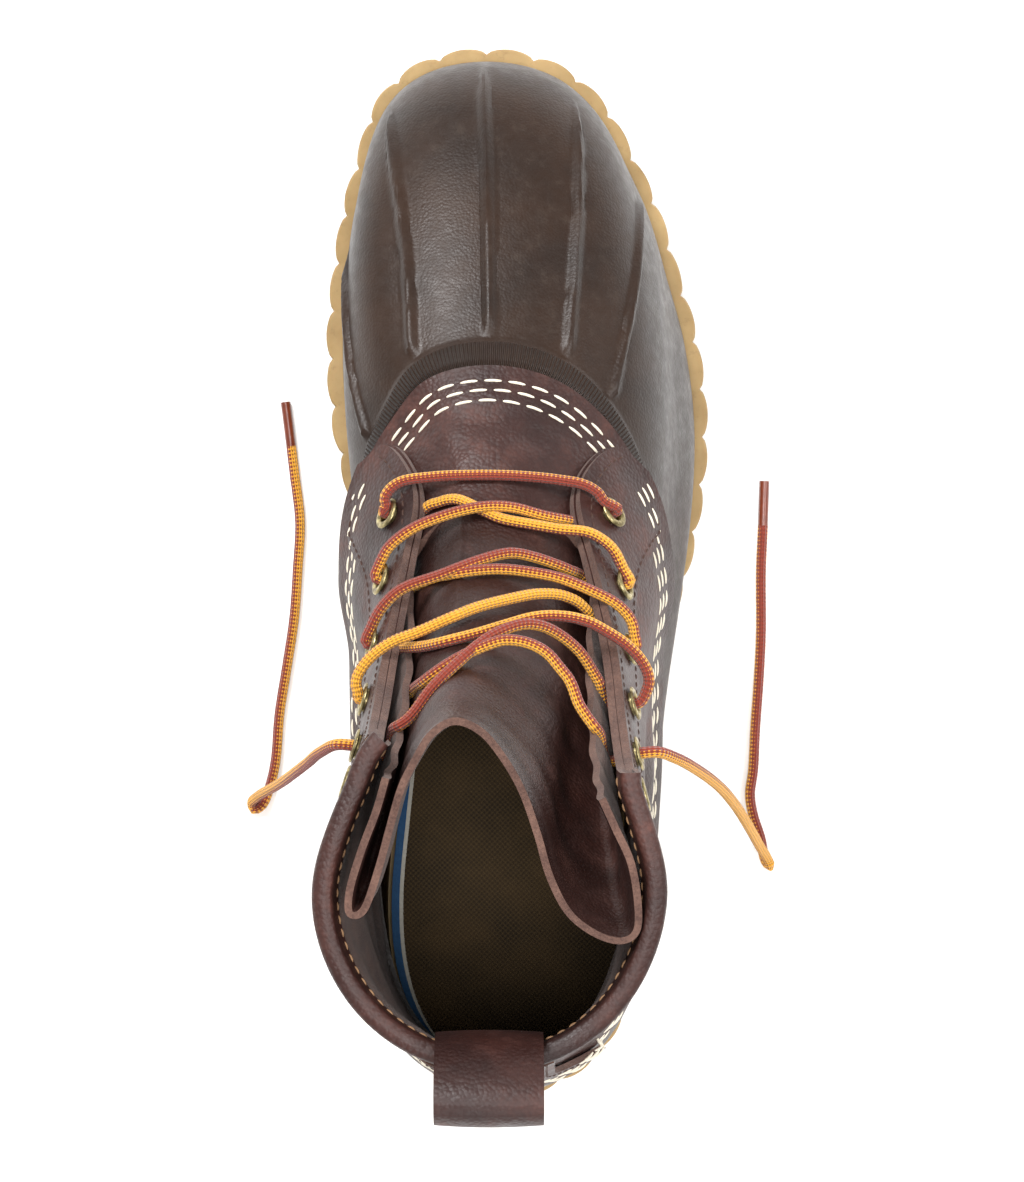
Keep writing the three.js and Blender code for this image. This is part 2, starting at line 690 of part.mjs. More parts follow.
// The vamp with its bellows tongue. Each column of the tongue is given by its angle and stand
// where it leaves the vamp, and by its place in plan at the top, where the gussets are folded.
const tongueColumns = [
  { angle: -50, stand: -1.4, x: -31.3, y: -49.5 },
  { angle: -53, stand: -1.4, x: -33.6, y: -57.5 },
  { angle: -57, stand: -1.4, x: -37, y: -66.5 },
  { angle: -60, stand: -1.9, x: -39.8, y: -76 },
  { angle: -61.5, stand: -3.3, x: -39.8, y: -81.5 },
  { angle: -60, stand: -4.9, x: -36.4, y: -80.5 },
  { angle: -56, stand: -5.3, x: -33, y: -71 },
  { angle: -50, stand: -4.7, x: -30.4, y: -61.5 },
  { angle: -42, stand: -3.3, x: -27.6, y: -52 },
  { angle: -33, stand: -1.8, x: -24, y: -45 },
  { angle: -22, stand: -1.6, x: -20.3, y: -39.5 },
  { angle: -8, stand: -1.6, x: -14.9, y: -36.5 },
  { angle: 6, stand: -1.6, x: -8.6, y: -39 },
  { angle: 18, stand: -1.6, x: -3.1, y: -45.5 },
  { angle: 30, stand: -1.8, x: 1.1, y: -53 },
  { angle: 38, stand: -2.4, x: 4.6, y: -63 },
  { angle: 44, stand: -3.8, x: 7.5, y: -73 },
  { angle: 50, stand: -4.7, x: 12, y: -81.5 },
  { angle: 56, stand: -5.3, x: 18.5, y: -86.5 },
  { angle: 60, stand: -4.9, x: 24.5, y: -88 },
  { angle: 61.5, stand: -3.3, x: 28, y: -85.5 },
  { angle: 60, stand: -1.9, x: 28.2, y: -78.5 },
  { angle: 57, stand: -1.4, x: 26.6, y: -69.5 },
  { angle: 53, stand: -1.4, x: 23, y: -61.5 },
  { angle: 50, stand: -1.4, x: 19.8, y: -54.5 },
];
const tongueStart = 1.26;
const tongueRows = [0, 0.12, 0.26, 0.42, 0.6, 0.8, 1];
const tongueRise = 8; // the tongue's peak above the collar

function tongueMiddle(row, k) {
  const share = tongueRows[row];
  const level = mix(tongueStart, 2, share);
  const { angle, stand, x, y } = tongueColumns[k];
  const plain = offSurface(radians(angle), level, stand);
  const top = offSurface(radians(angle), 2, stand);
  const folded = share ** 1.3;
  const centre = Math.exp(-(((angle + 8) / 34) ** 2));
  plain.x += (x - top.x) * folded;
  plain.y += (y - top.y) * folded;
  plain.z += (2 + tongueRise * centre) * share ** 2;
  return plain;
}
function tongueFace(side) {
  return (row, k) => {
    const [up1, up0] = [Math.min(row + 1, tongueRows.length - 1), Math.max(row - 1, 0)];
    const [k1, k0] = [Math.min(k + 1, tongueColumns.length - 1), Math.max(k - 1, 0)];
    const rise = tongueMiddle(up1, k).sub(tongueMiddle(up0, k));
    const across = tongueMiddle(row, k1).sub(tongueMiddle(row, k0));
    const normal = across.cross(rise).normalize();
    return tongueMiddle(row, k).addScaledVector(normal, (side * tongueWall) / 2);
  };
}
function makeTongue() {
  const levels = [1, 1.05, 1.1, 1.15, 1.2, 1.26, 1.32];
  const count = 18;
  const face = (wall) => (row, k) => {
    const angle = radians(mix(-vampWing, vampWing, k / (count - 1)));
    return offSurface(angle, levels[row], vampStand(levels[row]) + wall);
  };
  const vamp = toSolid(sheet(levels.length, count, face(leatherWall), face(0)));
  const folds = sheet(tongueRows.length, tongueColumns.length, tongueFace(1), tongueFace(-1));
  return vamp.add(toSolid(folds));
}
add("tongue", makeTongue(), "leather");

// Insole: a padded sheet on the sole's top, inside the rubber.
function makeInsole() {
  const inset = soleMargin + rubberWall + 1.2;
  const half = 18;
  const grid = (height) => (row, k) => {
    const angle = mix(0.05, Math.PI - 0.05, k / (half - 1));
    const edge = soleLine(angle).addScaledVector(outward(soleLine, angle), -inset);
    const partner = soleLine(-angle).addScaledVector(outward(soleLine, -angle), -inset);
    const p = partner.lerp(edge, row / 4);
    const dish = height === 0 ? 0 : 1.2 * Math.abs(row / 2 - 1) ** 2;
    return p.setZ(soleTop(shareOf(p.y)) + 2 * gap + rubberWall + height + dish);
  };
  return toSolid(sheet(5, half, grid(insoleThickness), grid(0)));
}
add("insole", makeInsole(), "canvas");

// Facings: a second layer of leather along each quarter's front edge, punched for the eyelets.
const facingLevels = quarterLevels.filter((level) => level > 1.02 && level < 1.95);
function makeFacing({ sign }) {
  const count = 5;
  const face = (wall) => (row, k) => {
    const level = facingLevels[row];
    const width = facingWidth * mix(1.3, 1, smooth(level, 1.1, 1.8)) * (row === 0 ? 0.55 : 1);
    const start = edgeAngle(sign, level) + sign * 0.012;
    const angle = walk(start, level, (width * k) / (count - 1));
    return offSurface(angle, level, facingStand(angle, level) + wall);
  };
  const strip = toSolid(sheet(facingLevels.length, count, face(facingWall), face(0)));
  return punch(strip, eyelets.filter((hole) => hole.sign === sign));
}
for (const side of sides) add(`facing_${side.name}`, makeFacing(side), "leather");

// Collar binding: a rolled strip over the quarters' top edge.
function makeBinding() {
  const lowLevel = 2 - bindingDepth / 140;
  const columns = quarterColumns;
  const skin = (extra) => (row, k) => {
    const angle = quarterAngle(k, 2);
    const inside = quarterStand(angle, 2) - gap - extra;
    const outside = quarterStand(angle, 2) + leatherWall + gap + extra;
    const crown = offSurface(angle, 2, (inside + outside) / 2);
    if (row === 2) return crown.setZ(crown.z + gap + extra * 1.2);
    const level = row === 0 || row === 4 ? lowLevel : 2;
    const p = offSurface(angle, level, row < 2 ? outside : inside);
    return level === 2 ? p.setZ(p.z + (gap + extra) * 0.4) : p;
  };
  return toSolid(sheet(5, columns, skin(bindingWall), skin(0)));
}
add("collar_binding", makeBinding(), "leather");

// Backstay: a strip up the heel seam that flares over the counter.
const backstayLevels = quarterLevels.filter((level) => level < 1.95);
function makeBackstay() {
  const count = 7;
  const face = (wall) => (row, k) => {
    const level = backstayLevels[row];
    const width = mix(backstayFlare, backstayWidth, smooth(level, 1, 1.25));
    const half = (width / 2) * (k / (count - 1)) * 2 - width / 2;
    const side = half < 0 ? -1 : 1;
    const angle = side * Math.PI;
    const reach = Math.abs(half) / surface(Math.PI, level).distanceTo(surface(Math.PI - 1, level));
    const at = angle - side * reach;
    return offSurface(at, level, facingStand(at, level) + wall);
  };
  return toSolid(sheet(backstayLevels.length, count, face(backstayWall), face(0)));
}
add("backstay", makeBackstay(), "leather");

// Pull loop: a strap that rises out of the collar at the back and comes down outside it.
function makePullLoop() {
  const back = collarPoint(Math.PI);
  const clear = leatherWall + bindingWall + 3 * gap;
  const path = [
    [6, -loopDrop],
    [5.6, -loopDrop / 2],
    [5.2, 0],
    [2.2, loopRise * 0.55],
    [-4, loopRise * 0.92],
    [-8.5, loopRise],
    [-12, loopRise * 0.84],
    [-13, loopRise * 0.5],
    [-11, loopRise * 0.15],
    [-clear - backstayWall - 3.4, -loopDrop * 0.4],
    [-clear - backstayWall - 4.4, -loopDrop],
  ].map(([y, z]) => vector(back.x, back.y + y, back.z + z));
  const [w, t] = [loopWidth / 2, loopWall / 2];
  const section = [[-w, -t], [w, -t], [w, t], [-w, t]];
  return toSolid(sweep(path, section, () => vector(1, 0, 0)));
}
add("pull_loop", makePullLoop(), "leather");

// Eyelets: a rolled flange on the facing and a barrel through both leathers.
const stack = leatherWall + layerGap + facingEase + facingWall; // the two leathers that an eyelet holds
function makeEyelet({ angle, level }) {
  const barrel = eyeletBore + eyeletWall;
  const seat = gap + 0.4; // the flange is flat and the leather under it is curved
  const profile = [
    [eyeletBore, 0.1 - stack],
    [barrel, 0.1 - stack],
    [barrel, seat],
    [eyeletRadius, seat],
    [eyeletBore, seat + eyeletWall * 1.4],
    [eyeletBore, 0.1 - stack],
  ].map(([r, h]) => new THREE.Vector2(r, h));
  const ring = new THREE.LatheGeometry(profile, 8);
  ring.rotateX(Math.PI / 2);
  ring.applyMatrix4(frameAt(angle, level, quarterStand(angle, level) + stack));
  return toSolid(ring);
}
for (const eyelet of eyelets) add(eyelet.name, makeEyelet(eyelet), "brass");

// Lace: a smooth cord through a list of points.
function cord(points, steps, facets = 6) {
  const section = new THREE.Shape();
  for (let k = 0; k < facets; k++) {
    const turn = (2 * Math.PI * k) / facets;
    const [x, y] = [(laceDiameter / 2) * Math.cos(turn), (laceDiameter / 2) * Math.sin(turn)];
    if (k === 0) section.moveTo(x, y);
    else section.lineTo(x, y);
  }
  const extrudePath = new THREE.CatmullRomCurve3(points, false, "centripetal");
  return new THREE.ExtrudeGeometry(section, { steps, extrudePath, bevelEnabled: false });
}
const onFlange = (e) => quarterStand(e.angle, e.level) + stack + 1.5 + laceDiameter / 2 + gap;
const overTongue = (level) => Math.max(vampStand(level) + leatherWall, 0) + laceDiameter / 2 + 1.1;
const eyeletOn = (sign, i) => eyelets[(sign < 0 ? 0 : eyeletRows.length) + i];

// A strand from under one quarter's edge, across the tongue and over to the other side's eyelet.
function strand(sign, row, overEnd = true) {
  const from = eyeletOn(sign, row);
  const to = eyeletOn(-sign, row + 1);
  const startLevel = mix(from.level, to.level, 0.25);
  const start = edgeAngle(sign, startLevel) * 0.86;
  const points = [0, 0.33, 0.66].map((t) => {
    const level = mix(startLevel, to.level, t * 0.55);
    return offSurface(mix(start, -start * 0.35, t / 0.66), level, overTongue(level));
  });
  const endLevel = mix(startLevel, to.level, 0.8);
  const edge = edgeAngle(-sign, endLevel);
  if (overEnd) {
    points.push(offSurface(edge * 0.82, endLevel, overTongue(endLevel) + 2.2));
    points.push(offSurface(edge * 1.12, mix(endLevel, to.level, 0.5), onFlange(to)));
    points.push(offSurface(to.angle, to.level, onFlange(to)));
  } else points.push(offSurface(edge * 0.86, endLevel, overTongue(endLevel)));
  return toSolid(cord(points, overEnd ? 11 : 8));
}
for (let row = 0; row < 4; row++) {
  const overEnd = row < 3;
  add(`lace_crossing_${row + 1}`, strand(-1, row, overEnd).add(strand(1, row, overEnd)), "lace");
}

function makeBar() {
  const [left, right] = [eyeletOn(-1, 0), eyeletOn(1, 0)];
  const over = (angle, level, stand) => offSurface(radians(angle), level, stand);
  const points = [
    offSurface(left.angle, left.level, onFlange(left)),
    over(-39, 1.19, onFlange(left) - 0.2),
    over(-31, 1.165, overTongue(1.165) + 4.6),
    over(-18, 1.15, overTongue(1.15) + 1.4),
    over(0, 1.15, overTongue(1.15)),
    over(18, 1.15, overTongue(1.15) + 1.4),
    over(30, 1.165, overTongue(1.165) + 4.6),
    over(38, 1.19, onFlange(right) - 0.2),
    offSurface(right.angle, right.level, onFlange(right)),
  ];
  return toSolid(cord(points, 14));
}
add("lace_bar", makeBar(), "lace");

// The free ends: each leaves its eyelet, hangs down the shaft and lies forward on the floor.
const floorLace = laceDiameter / 2 + 0.05;
const laceEnds = {
  medial: [
    [-40.9, -44, 155.6], [-45, -43.8, 154], [-50, -46.2, 143], [-54, -49.5, 125], [-59, -53.5, 100],
    [-65.5, -58.5, 60], [-71.5, -62.5, 26], [-75.5, -65.2, 8], [-77.6, -67.4, 2.4],
    [-77, -69.4, floorLace], [-74.6, -68, floorLace], [-72.6, -63.2, floorLace],
    [-70.8, -55.5, floorLace], [-69.6, -41.4, floorLace], [-67.4, -27.4, floorLace],
    [-65.3, -13.3, floorLace], [-64.3, 0.7, floorLace], [-63.6, 14.8, floorLace],
    [-65.2, 28.8, floorLace], [-66.9, 42.9, floorLace], [-67.8, 49.9, floorLace],
  ],
  lateral: [
    [30.3, -45.9, 156], [34.6, -45.6, 155.3], [40, -47.6, 148], [46.5, -51.6, 131], [53, -56.8, 108],
    [59, -63.4, 79], [65.5, -72.3, 42], [70.3, -79.4, 14], [73, -83.4, 3.6],
    [74.2, -86, floorLace], [72.8, -84.6, floorLace], [71.2, -77.5, floorLace],
    [69.1, -71, floorLace], [68.2, -65.1, floorLace], [69.1, -58, floorLace],
    [69.7, -46.1, floorLace], [70.7, -32, floorLace], [71.4, -18, floorLace],
    [71.4, 0, floorLace], [71.9, 12, floorLace], [72.4, 26.8, floorLace],
  ],
};
for (const { name } of sides) {
  const points = laceEnds[name].map(([x, y, z]) => vector(x, y, z));
  add(`lace_end_${name}`, toSolid(cord(points, 40, 8)), "lace");
}
export default boot;
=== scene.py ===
# %% [markdown]
# # Rain boot
# A right-foot rain boot seen straight from above: a moulded rubber bottom on a gum sole, a leather
# shaft with a bellows tongue, twelve eyelets and a two-coloured lace. Sizes are in millimetres until
# a mesh is made, and every piece lies where its solid lies. The solids carry the main shapes and the
# collisions. Here each one is replaced by a finer mesh with its real finish, on the same body.

# %% Load the frame
import math

import bmesh
import bpy
import numpy as np
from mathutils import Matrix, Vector
from mathutils.bvhtree import BVHTree


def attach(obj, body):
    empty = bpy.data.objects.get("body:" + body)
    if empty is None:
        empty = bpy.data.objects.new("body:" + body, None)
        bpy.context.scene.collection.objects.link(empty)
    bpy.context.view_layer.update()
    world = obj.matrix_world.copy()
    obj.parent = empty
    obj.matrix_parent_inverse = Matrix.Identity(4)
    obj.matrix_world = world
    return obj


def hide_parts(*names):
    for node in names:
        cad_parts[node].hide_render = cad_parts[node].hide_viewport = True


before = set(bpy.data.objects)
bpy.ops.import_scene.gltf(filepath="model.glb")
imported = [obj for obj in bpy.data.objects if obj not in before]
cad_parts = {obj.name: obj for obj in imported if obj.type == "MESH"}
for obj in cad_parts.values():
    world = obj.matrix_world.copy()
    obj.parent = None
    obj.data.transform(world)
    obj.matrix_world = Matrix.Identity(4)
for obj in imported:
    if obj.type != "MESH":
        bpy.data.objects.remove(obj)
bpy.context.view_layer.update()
MM = 0.001

# %% [markdown]
# ## Camera
# The photograph was taken from straight above, about a metre up, so the collar looks larger than the
# sole. One pixel of the 1024 x 1182 photograph is a ray through the lens. A camera can be placed by
# eye, but this one was worked out from the eyelets, whose spacing grows towards the lens, so that a
# pixel also tells where a piece of lace lies.

# %% Camera
CAMERA = np.array([-1.5, -5.4, 1050.0])
FOCAL = 3580.0  # in pixels of the photograph
CENTRE = (512.0, 591.0)

camera_data = bpy.data.cameras.new("camera")
PHOTO_HEIGHT, SENSOR = 1182, 36
camera_data.lens = FOCAL / PHOTO_HEIGHT * SENSOR
camera_data.sensor_width = SENSOR
camera = bpy.data.objects.new("camera", camera_data)
camera.location = CAMERA * MM
bpy.context.scene.collection.objects.link(camera)
bpy.context.scene.camera = camera


def pixel_at_height(px, py, z):
    """The place seen at a pixel of the photograph, on the plane at height z."""
    reach = (CAMERA[2] - z) / FOCAL
    x = CAMERA[0] + (px - CENTRE[0]) * reach
    y = CAMERA[1] - (py - CENTRE[1]) * reach
    return np.stack([x, y, z + 0 * x], axis=-1)


# %% [markdown]
# ## How the materials are built
# A finish can be painted, scanned, or built from nodes. Nodes are used here: they need no picture and
# stay sharp from any side. Colours are sRGB hex values, which one function turns into linear ones.
# Pattern sizes are in millimetres, and a number that is the same all over is set on the shader itself.

# %% Material helpers
def colour(code):
    """A linear colour from an sRGB hex code."""
    parts = [int(code[i : i + 2], 16) / 255 for i in (1, 3, 5)]
    linear = [p / 12.92 if p <= 0.04045 else ((p + 0.055) / 1.055) ** 2.4 for p in parts]
    return (*linear, 1.0)


def add_node(tree, kind, inputs=None, **settings):
    """Adds a node. Each input is a number, a colour, or the output that feeds it."""
    made = tree.nodes.new(kind)
    for key, value in settings.items():
        setattr(made, key, value)
    for key, value in (inputs or {}).items():
        if isinstance(value, bpy.types.NodeSocket):
            tree.links.new(value, made.inputs[key])
        else:
            made.inputs[key].default_value = value
    return made


def start_material(name, **sockets):
    """A new material with one shader, whose constant sockets are set directly."""
    material = bpy.data.materials.new(name)
    material.use_nodes = True
    tree = material.node_tree
    shader = tree.nodes["Principled BSDF"]
    for key, value in sockets.items():
        shader.inputs[key.replace("_", " ")].default_value = value
    return material, tree, shader


def places(tree):
    """Places on the piece, in metres."""
    return add_node(tree, "ShaderNodeTexCoord").outputs["Object"]


def noise(tree, size, detail=3.0, roughness=0.5):
    """Cloudy noise whose patches are about size millimetres across."""
    inputs = {"Scale": 1000 / size, "Detail": detail, "Roughness": roughness, "Vector": places(tree)}
    return add_node(tree, "ShaderNodeTexNoise", inputs).outputs["Fac"]


def cells(tree, size):
    """Rounded cells about size millimetres across."""
    inputs = {"Scale": 1000 / size, "Vector": places(tree)}
    return add_node(tree, "ShaderNodeTexVoronoi", inputs, feature="F1").outputs["Distance"]


def maths(tree, operation, a, b=0.0, c=0.0):
    """One sum on values."""
    return add_node(tree, "ShaderNodeMath", {0: a, 1: b, 2: c}, operation=operation).outputs[0]


def ramp(tree, value, low, high, start=0.0, end=1.0):
    """Turns a value from low to high into start to end, and holds it outside."""
    inputs = {"Value": value, "From Min": low, "From Max": high, "To Min": start, "To Max": end}
    return add_node(tree, "ShaderNodeMapRange", inputs).outputs["Result"]


def blend(tree, amount, first, second):
    """A colour between two: the second as far as the amount says."""
    inputs = {0: amount, 6: first, 7: second}
    return add_node(tree, "ShaderNodeMix", inputs, data_type="RGBA").outputs[2]


def bump(tree, shader, height, depth, strength=1.0, under=None):
    """Adds relief: depth is in millimetres."""
    inputs = {"Height": height, "Distance": depth * MM, "Strength": strength}
    if under:
        inputs["Normal"] = under
    made = add_node(tree, "ShaderNodeBump", inputs).outputs["Normal"]
    tree.links.new(made, shader.inputs["Normal"])
    return made


def uv_parts(tree):
    """The texture coordinates across and along a piece."""
    parts = add_node(tree, "ShaderNodeSeparateXYZ", {0: add_node(tree, "ShaderNodeUVMap").outputs[0]})
    return parts.outputs[0], parts.outputs[1]


# %% [markdown]
# ## Oiled leather
# The shaft is full-grain cowhide, tanned and soaked in oil. Oil makes its colour cloudy and its
# gloss low. Three sizes of noise give the clouds, paler patches of painted highlight and the
# crinkles, and rounded cells give the pebbled grain. Real grain is about half a millimetre wide,
# and is drawn about twice as coarse so that it shows.

# %% Oiled leather
def oiled_leather(name, dark="#25120f", middle="#40231d", light="#6b4238", grain=1.0):
    """Full-grain oiled leather: pebbled grain, cloudy colour and paler patches of painted highlight."""
    material, tree, shader = start_material(
        name, Specular_IOR_Level=0.34, Coat_Weight=0.05, Coat_Roughness=0.4
    )
    cloud = noise(tree, 38, 5, 0.6)
    pull = noise(tree, 9, 6, 0.65)
    pebbles = cells(tree, 1.15 * grain)
    crinkle = noise(tree, 2.6, 6, 0.6)
    base = blend(tree, ramp(tree, cloud, 0.36, 0.62), colour(dark), colour(middle))
    # Paler patches of painted highlight, placed at random by two noises.
    highlight_patches = maths(tree, "MULTIPLY", ramp(tree, pull, 0.5, 0.72), ramp(tree, cloud, 0.4, 0.66))
    patchy_tone = blend(tree, maths(tree, "MULTIPLY", highlight_patches, 0.75), base, colour(light))
    pores = ramp(tree, pebbles, 0.15, 0.75, 0.0, 0.32)
    tree.links.new(blend(tree, pores, patchy_tone, colour(dark)), shader.inputs["Base Color"])
    tree.links.new(ramp(tree, pull, 0.3, 0.75, 0.4, 0.62), shader.inputs["Roughness"])
    coarse = bump(tree, shader, crinkle, 0.3, 0.45)
    bump(tree, shader, pebbles, -0.3, 0.6, coarse)
    return material


LEATHER = oiled_leather("shaft_leather")
# The tongue is the same leather as the vamp. This darker copy is painted shade, for where it lies sunk
# between the facings.
SHADED_TONGUE_LEATHER = oiled_leather("tongue_leather_painted_shade", "#21110e", "#38201b", "#5b3b33", 0.8)

# %% [markdown]
# ## Flesh side
# A cut edge and the back of the leather are its flesh side: short, dull fibres. Hair strands would
# be heavy, so fine noise as relief and a little sheen stand for the nap. The nap of 0.7 mm is drawn
# coarser than the real one so that it shows.

# %% Suede
def suede(name, base="#432c25", pale="#6d5044"):
    """The leather's fuzzy flesh side and its cut edges."""
    material, tree, shader = start_material(name, Roughness=0.97, Sheen_Weight=0.12, Sheen_Roughness=0.5)
    nap = noise(tree, 0.7, 4, 0.7)
    patches = noise(tree, 7, 4, 0.6)
    amount = ramp(tree, maths(tree, "ADD", nap, patches), 0.75, 1.3)
    tree.links.new(blend(tree, amount, colour(base), colour(pale)), shader.inputs["Base Color"])
    bump(tree, shader, nap, 0.5, 0.8)
    return material


SUEDE = suede("cut_suede")
LINING = suede("flesh_side", "#3a241c", "#5c4135")

# %% [markdown]
# ## Moulded rubber
# The bottom is natural rubber from a polished mould: dark brown, low gloss, a fine pebble and some
# dust. Its rim band has milled teeth, 1.1 mm apart. They are too fine for the mesh, so a wave along
# the band's real length raises them as relief.

# %% Moulded rubber
def moulded_rubber(name, milled=False):
    """Dark brown rubber with a fine pebble, or with the milled teeth of its rim band."""
    material, tree, shader = start_material(
        name, Specular_IOR_Level=0.34, Coat_Weight=0.03, Coat_Roughness=0.3
    )
    cloud = noise(tree, 30, 4, 0.6)
    dust = noise(tree, 3.5, 5, 0.65)
    base = blend(tree, ramp(tree, cloud, 0.35, 0.65), colour("#20130b"), colour("#2d1c11"))
    dusty = maths(tree, "MULTIPLY", ramp(tree, dust, 0.55, 0.8), 0.14)
    tree.links.new(blend(tree, dusty, base, colour("#5b4d3f")), shader.inputs["Base Color"])
    tree.links.new(ramp(tree, dust, 0.3, 0.7, 0.34, 0.5), shader.inputs["Roughness"])
    under = bump(tree, shader, cells(tree, 0.8), -0.12, 0.5)
    if milled:
        along, _ = uv_parts(tree)
        teeth = maths(tree, "SINE", maths(tree, "MULTIPLY", along, 2 * math.pi / 1.1))
        bump(tree, shader, teeth, 0.35, 1.0, under)
    return material


RUBBER = moulded_rubber("moulded_rubber")
MILLED = moulded_rubber("milled_rubber", milled=True)

# %% [markdown]
# ## Gum rubber
# The outsole is pale gum rubber. Light enters it a little, so it has weak scattering, and dirt
# sticks to it in specks.

# %% Gum rubber
def gum_rubber(name):
    """Pale gum rubber, a little soiled along its edge."""
    material, tree, shader = start_material(name, Roughness=0.55, Specular_IOR_Level=0.4)
    shader.inputs["Subsurface Weight"].default_value = 0.08
    shader.inputs["Subsurface Scale"].default_value = 0.002
    cloud = noise(tree, 22, 4, 0.6)
    soil = noise(tree, 2.5, 6, 0.7)
    base = blend(tree, ramp(tree, cloud, 0.35, 0.65), colour("#8f7345"), colour("#a98c5c"))
    dirty = maths(tree, "MULTIPLY", ramp(tree, soil, 0.56, 0.76), 0.5)
    tree.links.new(blend(tree, dirty, base, colour("#6b5433")), shader.inputs["Base Color"])
    bump(tree, shader, soil, 0.12, 0.5)
    return material


GUM = gum_rubber("gum_rubber")

# %% [markdown]
# ## Antique brass
# The eyelets are rolled brass, darkened in a bath and rubbed bright again where the lace passes. It
# is a full metal, so that its colour is its reflection's colour, and it keeps the default IOR.

# %% Antique brass
def antique_brass(name):
    """Darkened brass, brighter where the lace rubs it."""
    material, tree, shader = start_material(name, Metallic=1.0)
    patina = noise(tree, 1.6, 5, 0.65)
    base = blend(tree, ramp(tree, patina, 0.4, 0.66), colour("#6e6244"), colour("#b3a578"))
    tree.links.new(base, shader.inputs["Base Color"])
    tree.links.new(ramp(tree, patina, 0.35, 0.7, 0.48, 0.28), shader.inputs["Roughness"])
    bump(tree, shader, patina, 0.08, 0.4)
    return material


BRASS = antique_brass("antique_brass")

# %% [markdown]
# ## Sewing thread
# Waxed, twisted thread is matt. Its fibres are too fine to show, so noise of half a millimetre
# breaks up its colour and its surface.

# %% Sewing thread
def sewing_thread(name, base, shade):
    """A waxed, twisted thread."""
    material, tree, shader = start_material(name, Roughness=0.7)
    fibre = noise(tree, 0.5, 3, 0.6)
    tree.links.new(blend(tree, fibre, colour(shade), colour(base)), shader.inputs["Base Color"])
    bump(tree, shader, fibre, 0.15, 0.6)
    return material


WHITE_THREAD = sewing_thread("white_thread", "#f3ecdc", "#cbbfa6")
BROWN_THREAD = sewing_thread("brown_thread", "#4a2d20", "#28160f")
TAN_THREAD = sewing_thread("tan_thread", "#9a7652", "#6a4a2f")

# %% [markdown]
# ## Braided lace
# The lace is a round braid with a red-brown and a golden half, which twist slowly along it and mix
# in dots where they meet. Modelled yarns would take many faces, so the texture's turn round the
# lace picks the colour and two crossing waves, 2.3 mm long, make the plait.

# %% Braided lace
def braided_lace(name):
    """A round braid: a red-brown band and a golden band that twist slowly and mix where they meet."""
    material, tree, shader = start_material(name, Roughness=0.82, Sheen_Weight=0.2)
    around, along = uv_parts(tree)
    twist = maths(tree, "MULTIPLY_ADD", along, 0.009, 1.25)
    band = maths(tree, "SINE", maths(tree, "MULTIPLY_ADD", around, 2 * math.pi, twist))
    turn = maths(tree, "MULTIPLY", around, 2 * math.pi * 6)
    lean = maths(tree, "MULTIPLY", along, 2 * math.pi / 2.3)
    one = maths(tree, "SINE", maths(tree, "ADD", turn, lean))
    other = maths(tree, "SINE", maths(tree, "SUBTRACT", turn, lean))
    plait = maths(tree, "MULTIPLY", one, other)
    dotted = maths(tree, "MULTIPLY_ADD", plait, 0.8, band)
    mixed = blend(tree, ramp(tree, dotted, -0.12, 0.12), colour("#8a2c14"), colour("#e8a324"))
    shade = ramp(tree, plait, -1.0, -0.1, 0.6, 0.0)
    tree.links.new(blend(tree, shade, mixed, colour("#5a2a12")), shader.inputs["Base Color"])
    bump(tree, shader, plait, 0.35, 0.9)
    return material


LACE = braided_lace("braided_lace")

# %% [markdown]
# ## Sealed tip
# The last 14 mm of the lace are shrunk and varnished: smoother, darker and glossier than the braid.

# %% Sealed tip
def sealed_tip(name):
    """The lace's shrunk, varnished tip."""
    material, tree, shader = start_material(name, Roughness=0.35, Coat_Weight=0.4, Coat_Roughness=0.2)
    streak = noise(tree, 1.2, 3, 0.5)
    tree.links.new(blend(tree, streak, colour("#54200f"), colour("#7c3417")), shader.inputs["Base Color"])
    bump(tree, shader, streak, 0.2, 0.6)
    return material


TIP = sealed_tip("sealed_tip")

# %% [markdown]
# ## Woven insole
# The insole's cover is a plain weave. Two waves at a right angle make it, with threads 1.5 mm apart,
# about twice as coarse as the real ones so that they show.

# %% Woven insole
def woven_insole(name):
    """A coarse woven cover, worn lighter underfoot, with a painted highlight on the threads' crests."""
    material, tree, shader = start_material(name, Roughness=0.92, Sheen_Weight=0.15)
    across, along = uv_parts(tree)
    thread_turn = 2 * math.pi / 1.5
    warp = maths(tree, "SINE", maths(tree, "MULTIPLY", across, thread_turn))
    weft = maths(tree, "SINE", maths(tree, "MULTIPLY", along, thread_turn))
    weave = maths(tree, "MULTIPLY", warp, weft)
    patchy_tone = noise(tree, 24, 5, 0.6)
    base = blend(tree, ramp(tree, patchy_tone, 0.36, 0.64), colour("#302317"), colour("#523e27"))
    # The weave's raised crests are painted lighter, as a highlight.
    thread_highlight = ramp(tree, weave, -1, 1, 0.0, 0.4)
    tree.links.new(blend(tree, thread_highlight, base, colour("#80683f")), shader.inputs["Base Color"])
    bump(tree, shader, weave, 0.35, 0.8)
    return material


WEAVE = woven_insole("woven_insole")

# %% [markdown]
# ## Foam
# Under the insole's cover lies dull foam with fine pores, blue, with a white line at its edge.

# %% Foam
def plain_foam(name, base, shade):
    """Cut foam with fine pores."""
    material, tree, shader = start_material(name, Roughness=0.9)
    pores = noise(tree, 0.9, 4, 0.6)
    tree.links.new(blend(tree, pores, colour(shade), colour(base)), shader.inputs["Base Color"])
    bump(tree, shader, pores, 0.2, 0.6)
    return material


FOAM = plain_foam("blue_foam", "#3f6fa0", "#2c5078")
WHITE_EDGE = plain_foam("white_edge", "#e9e5da", "#c8c2b2")

print(len(bpy.data.materials), "materials")

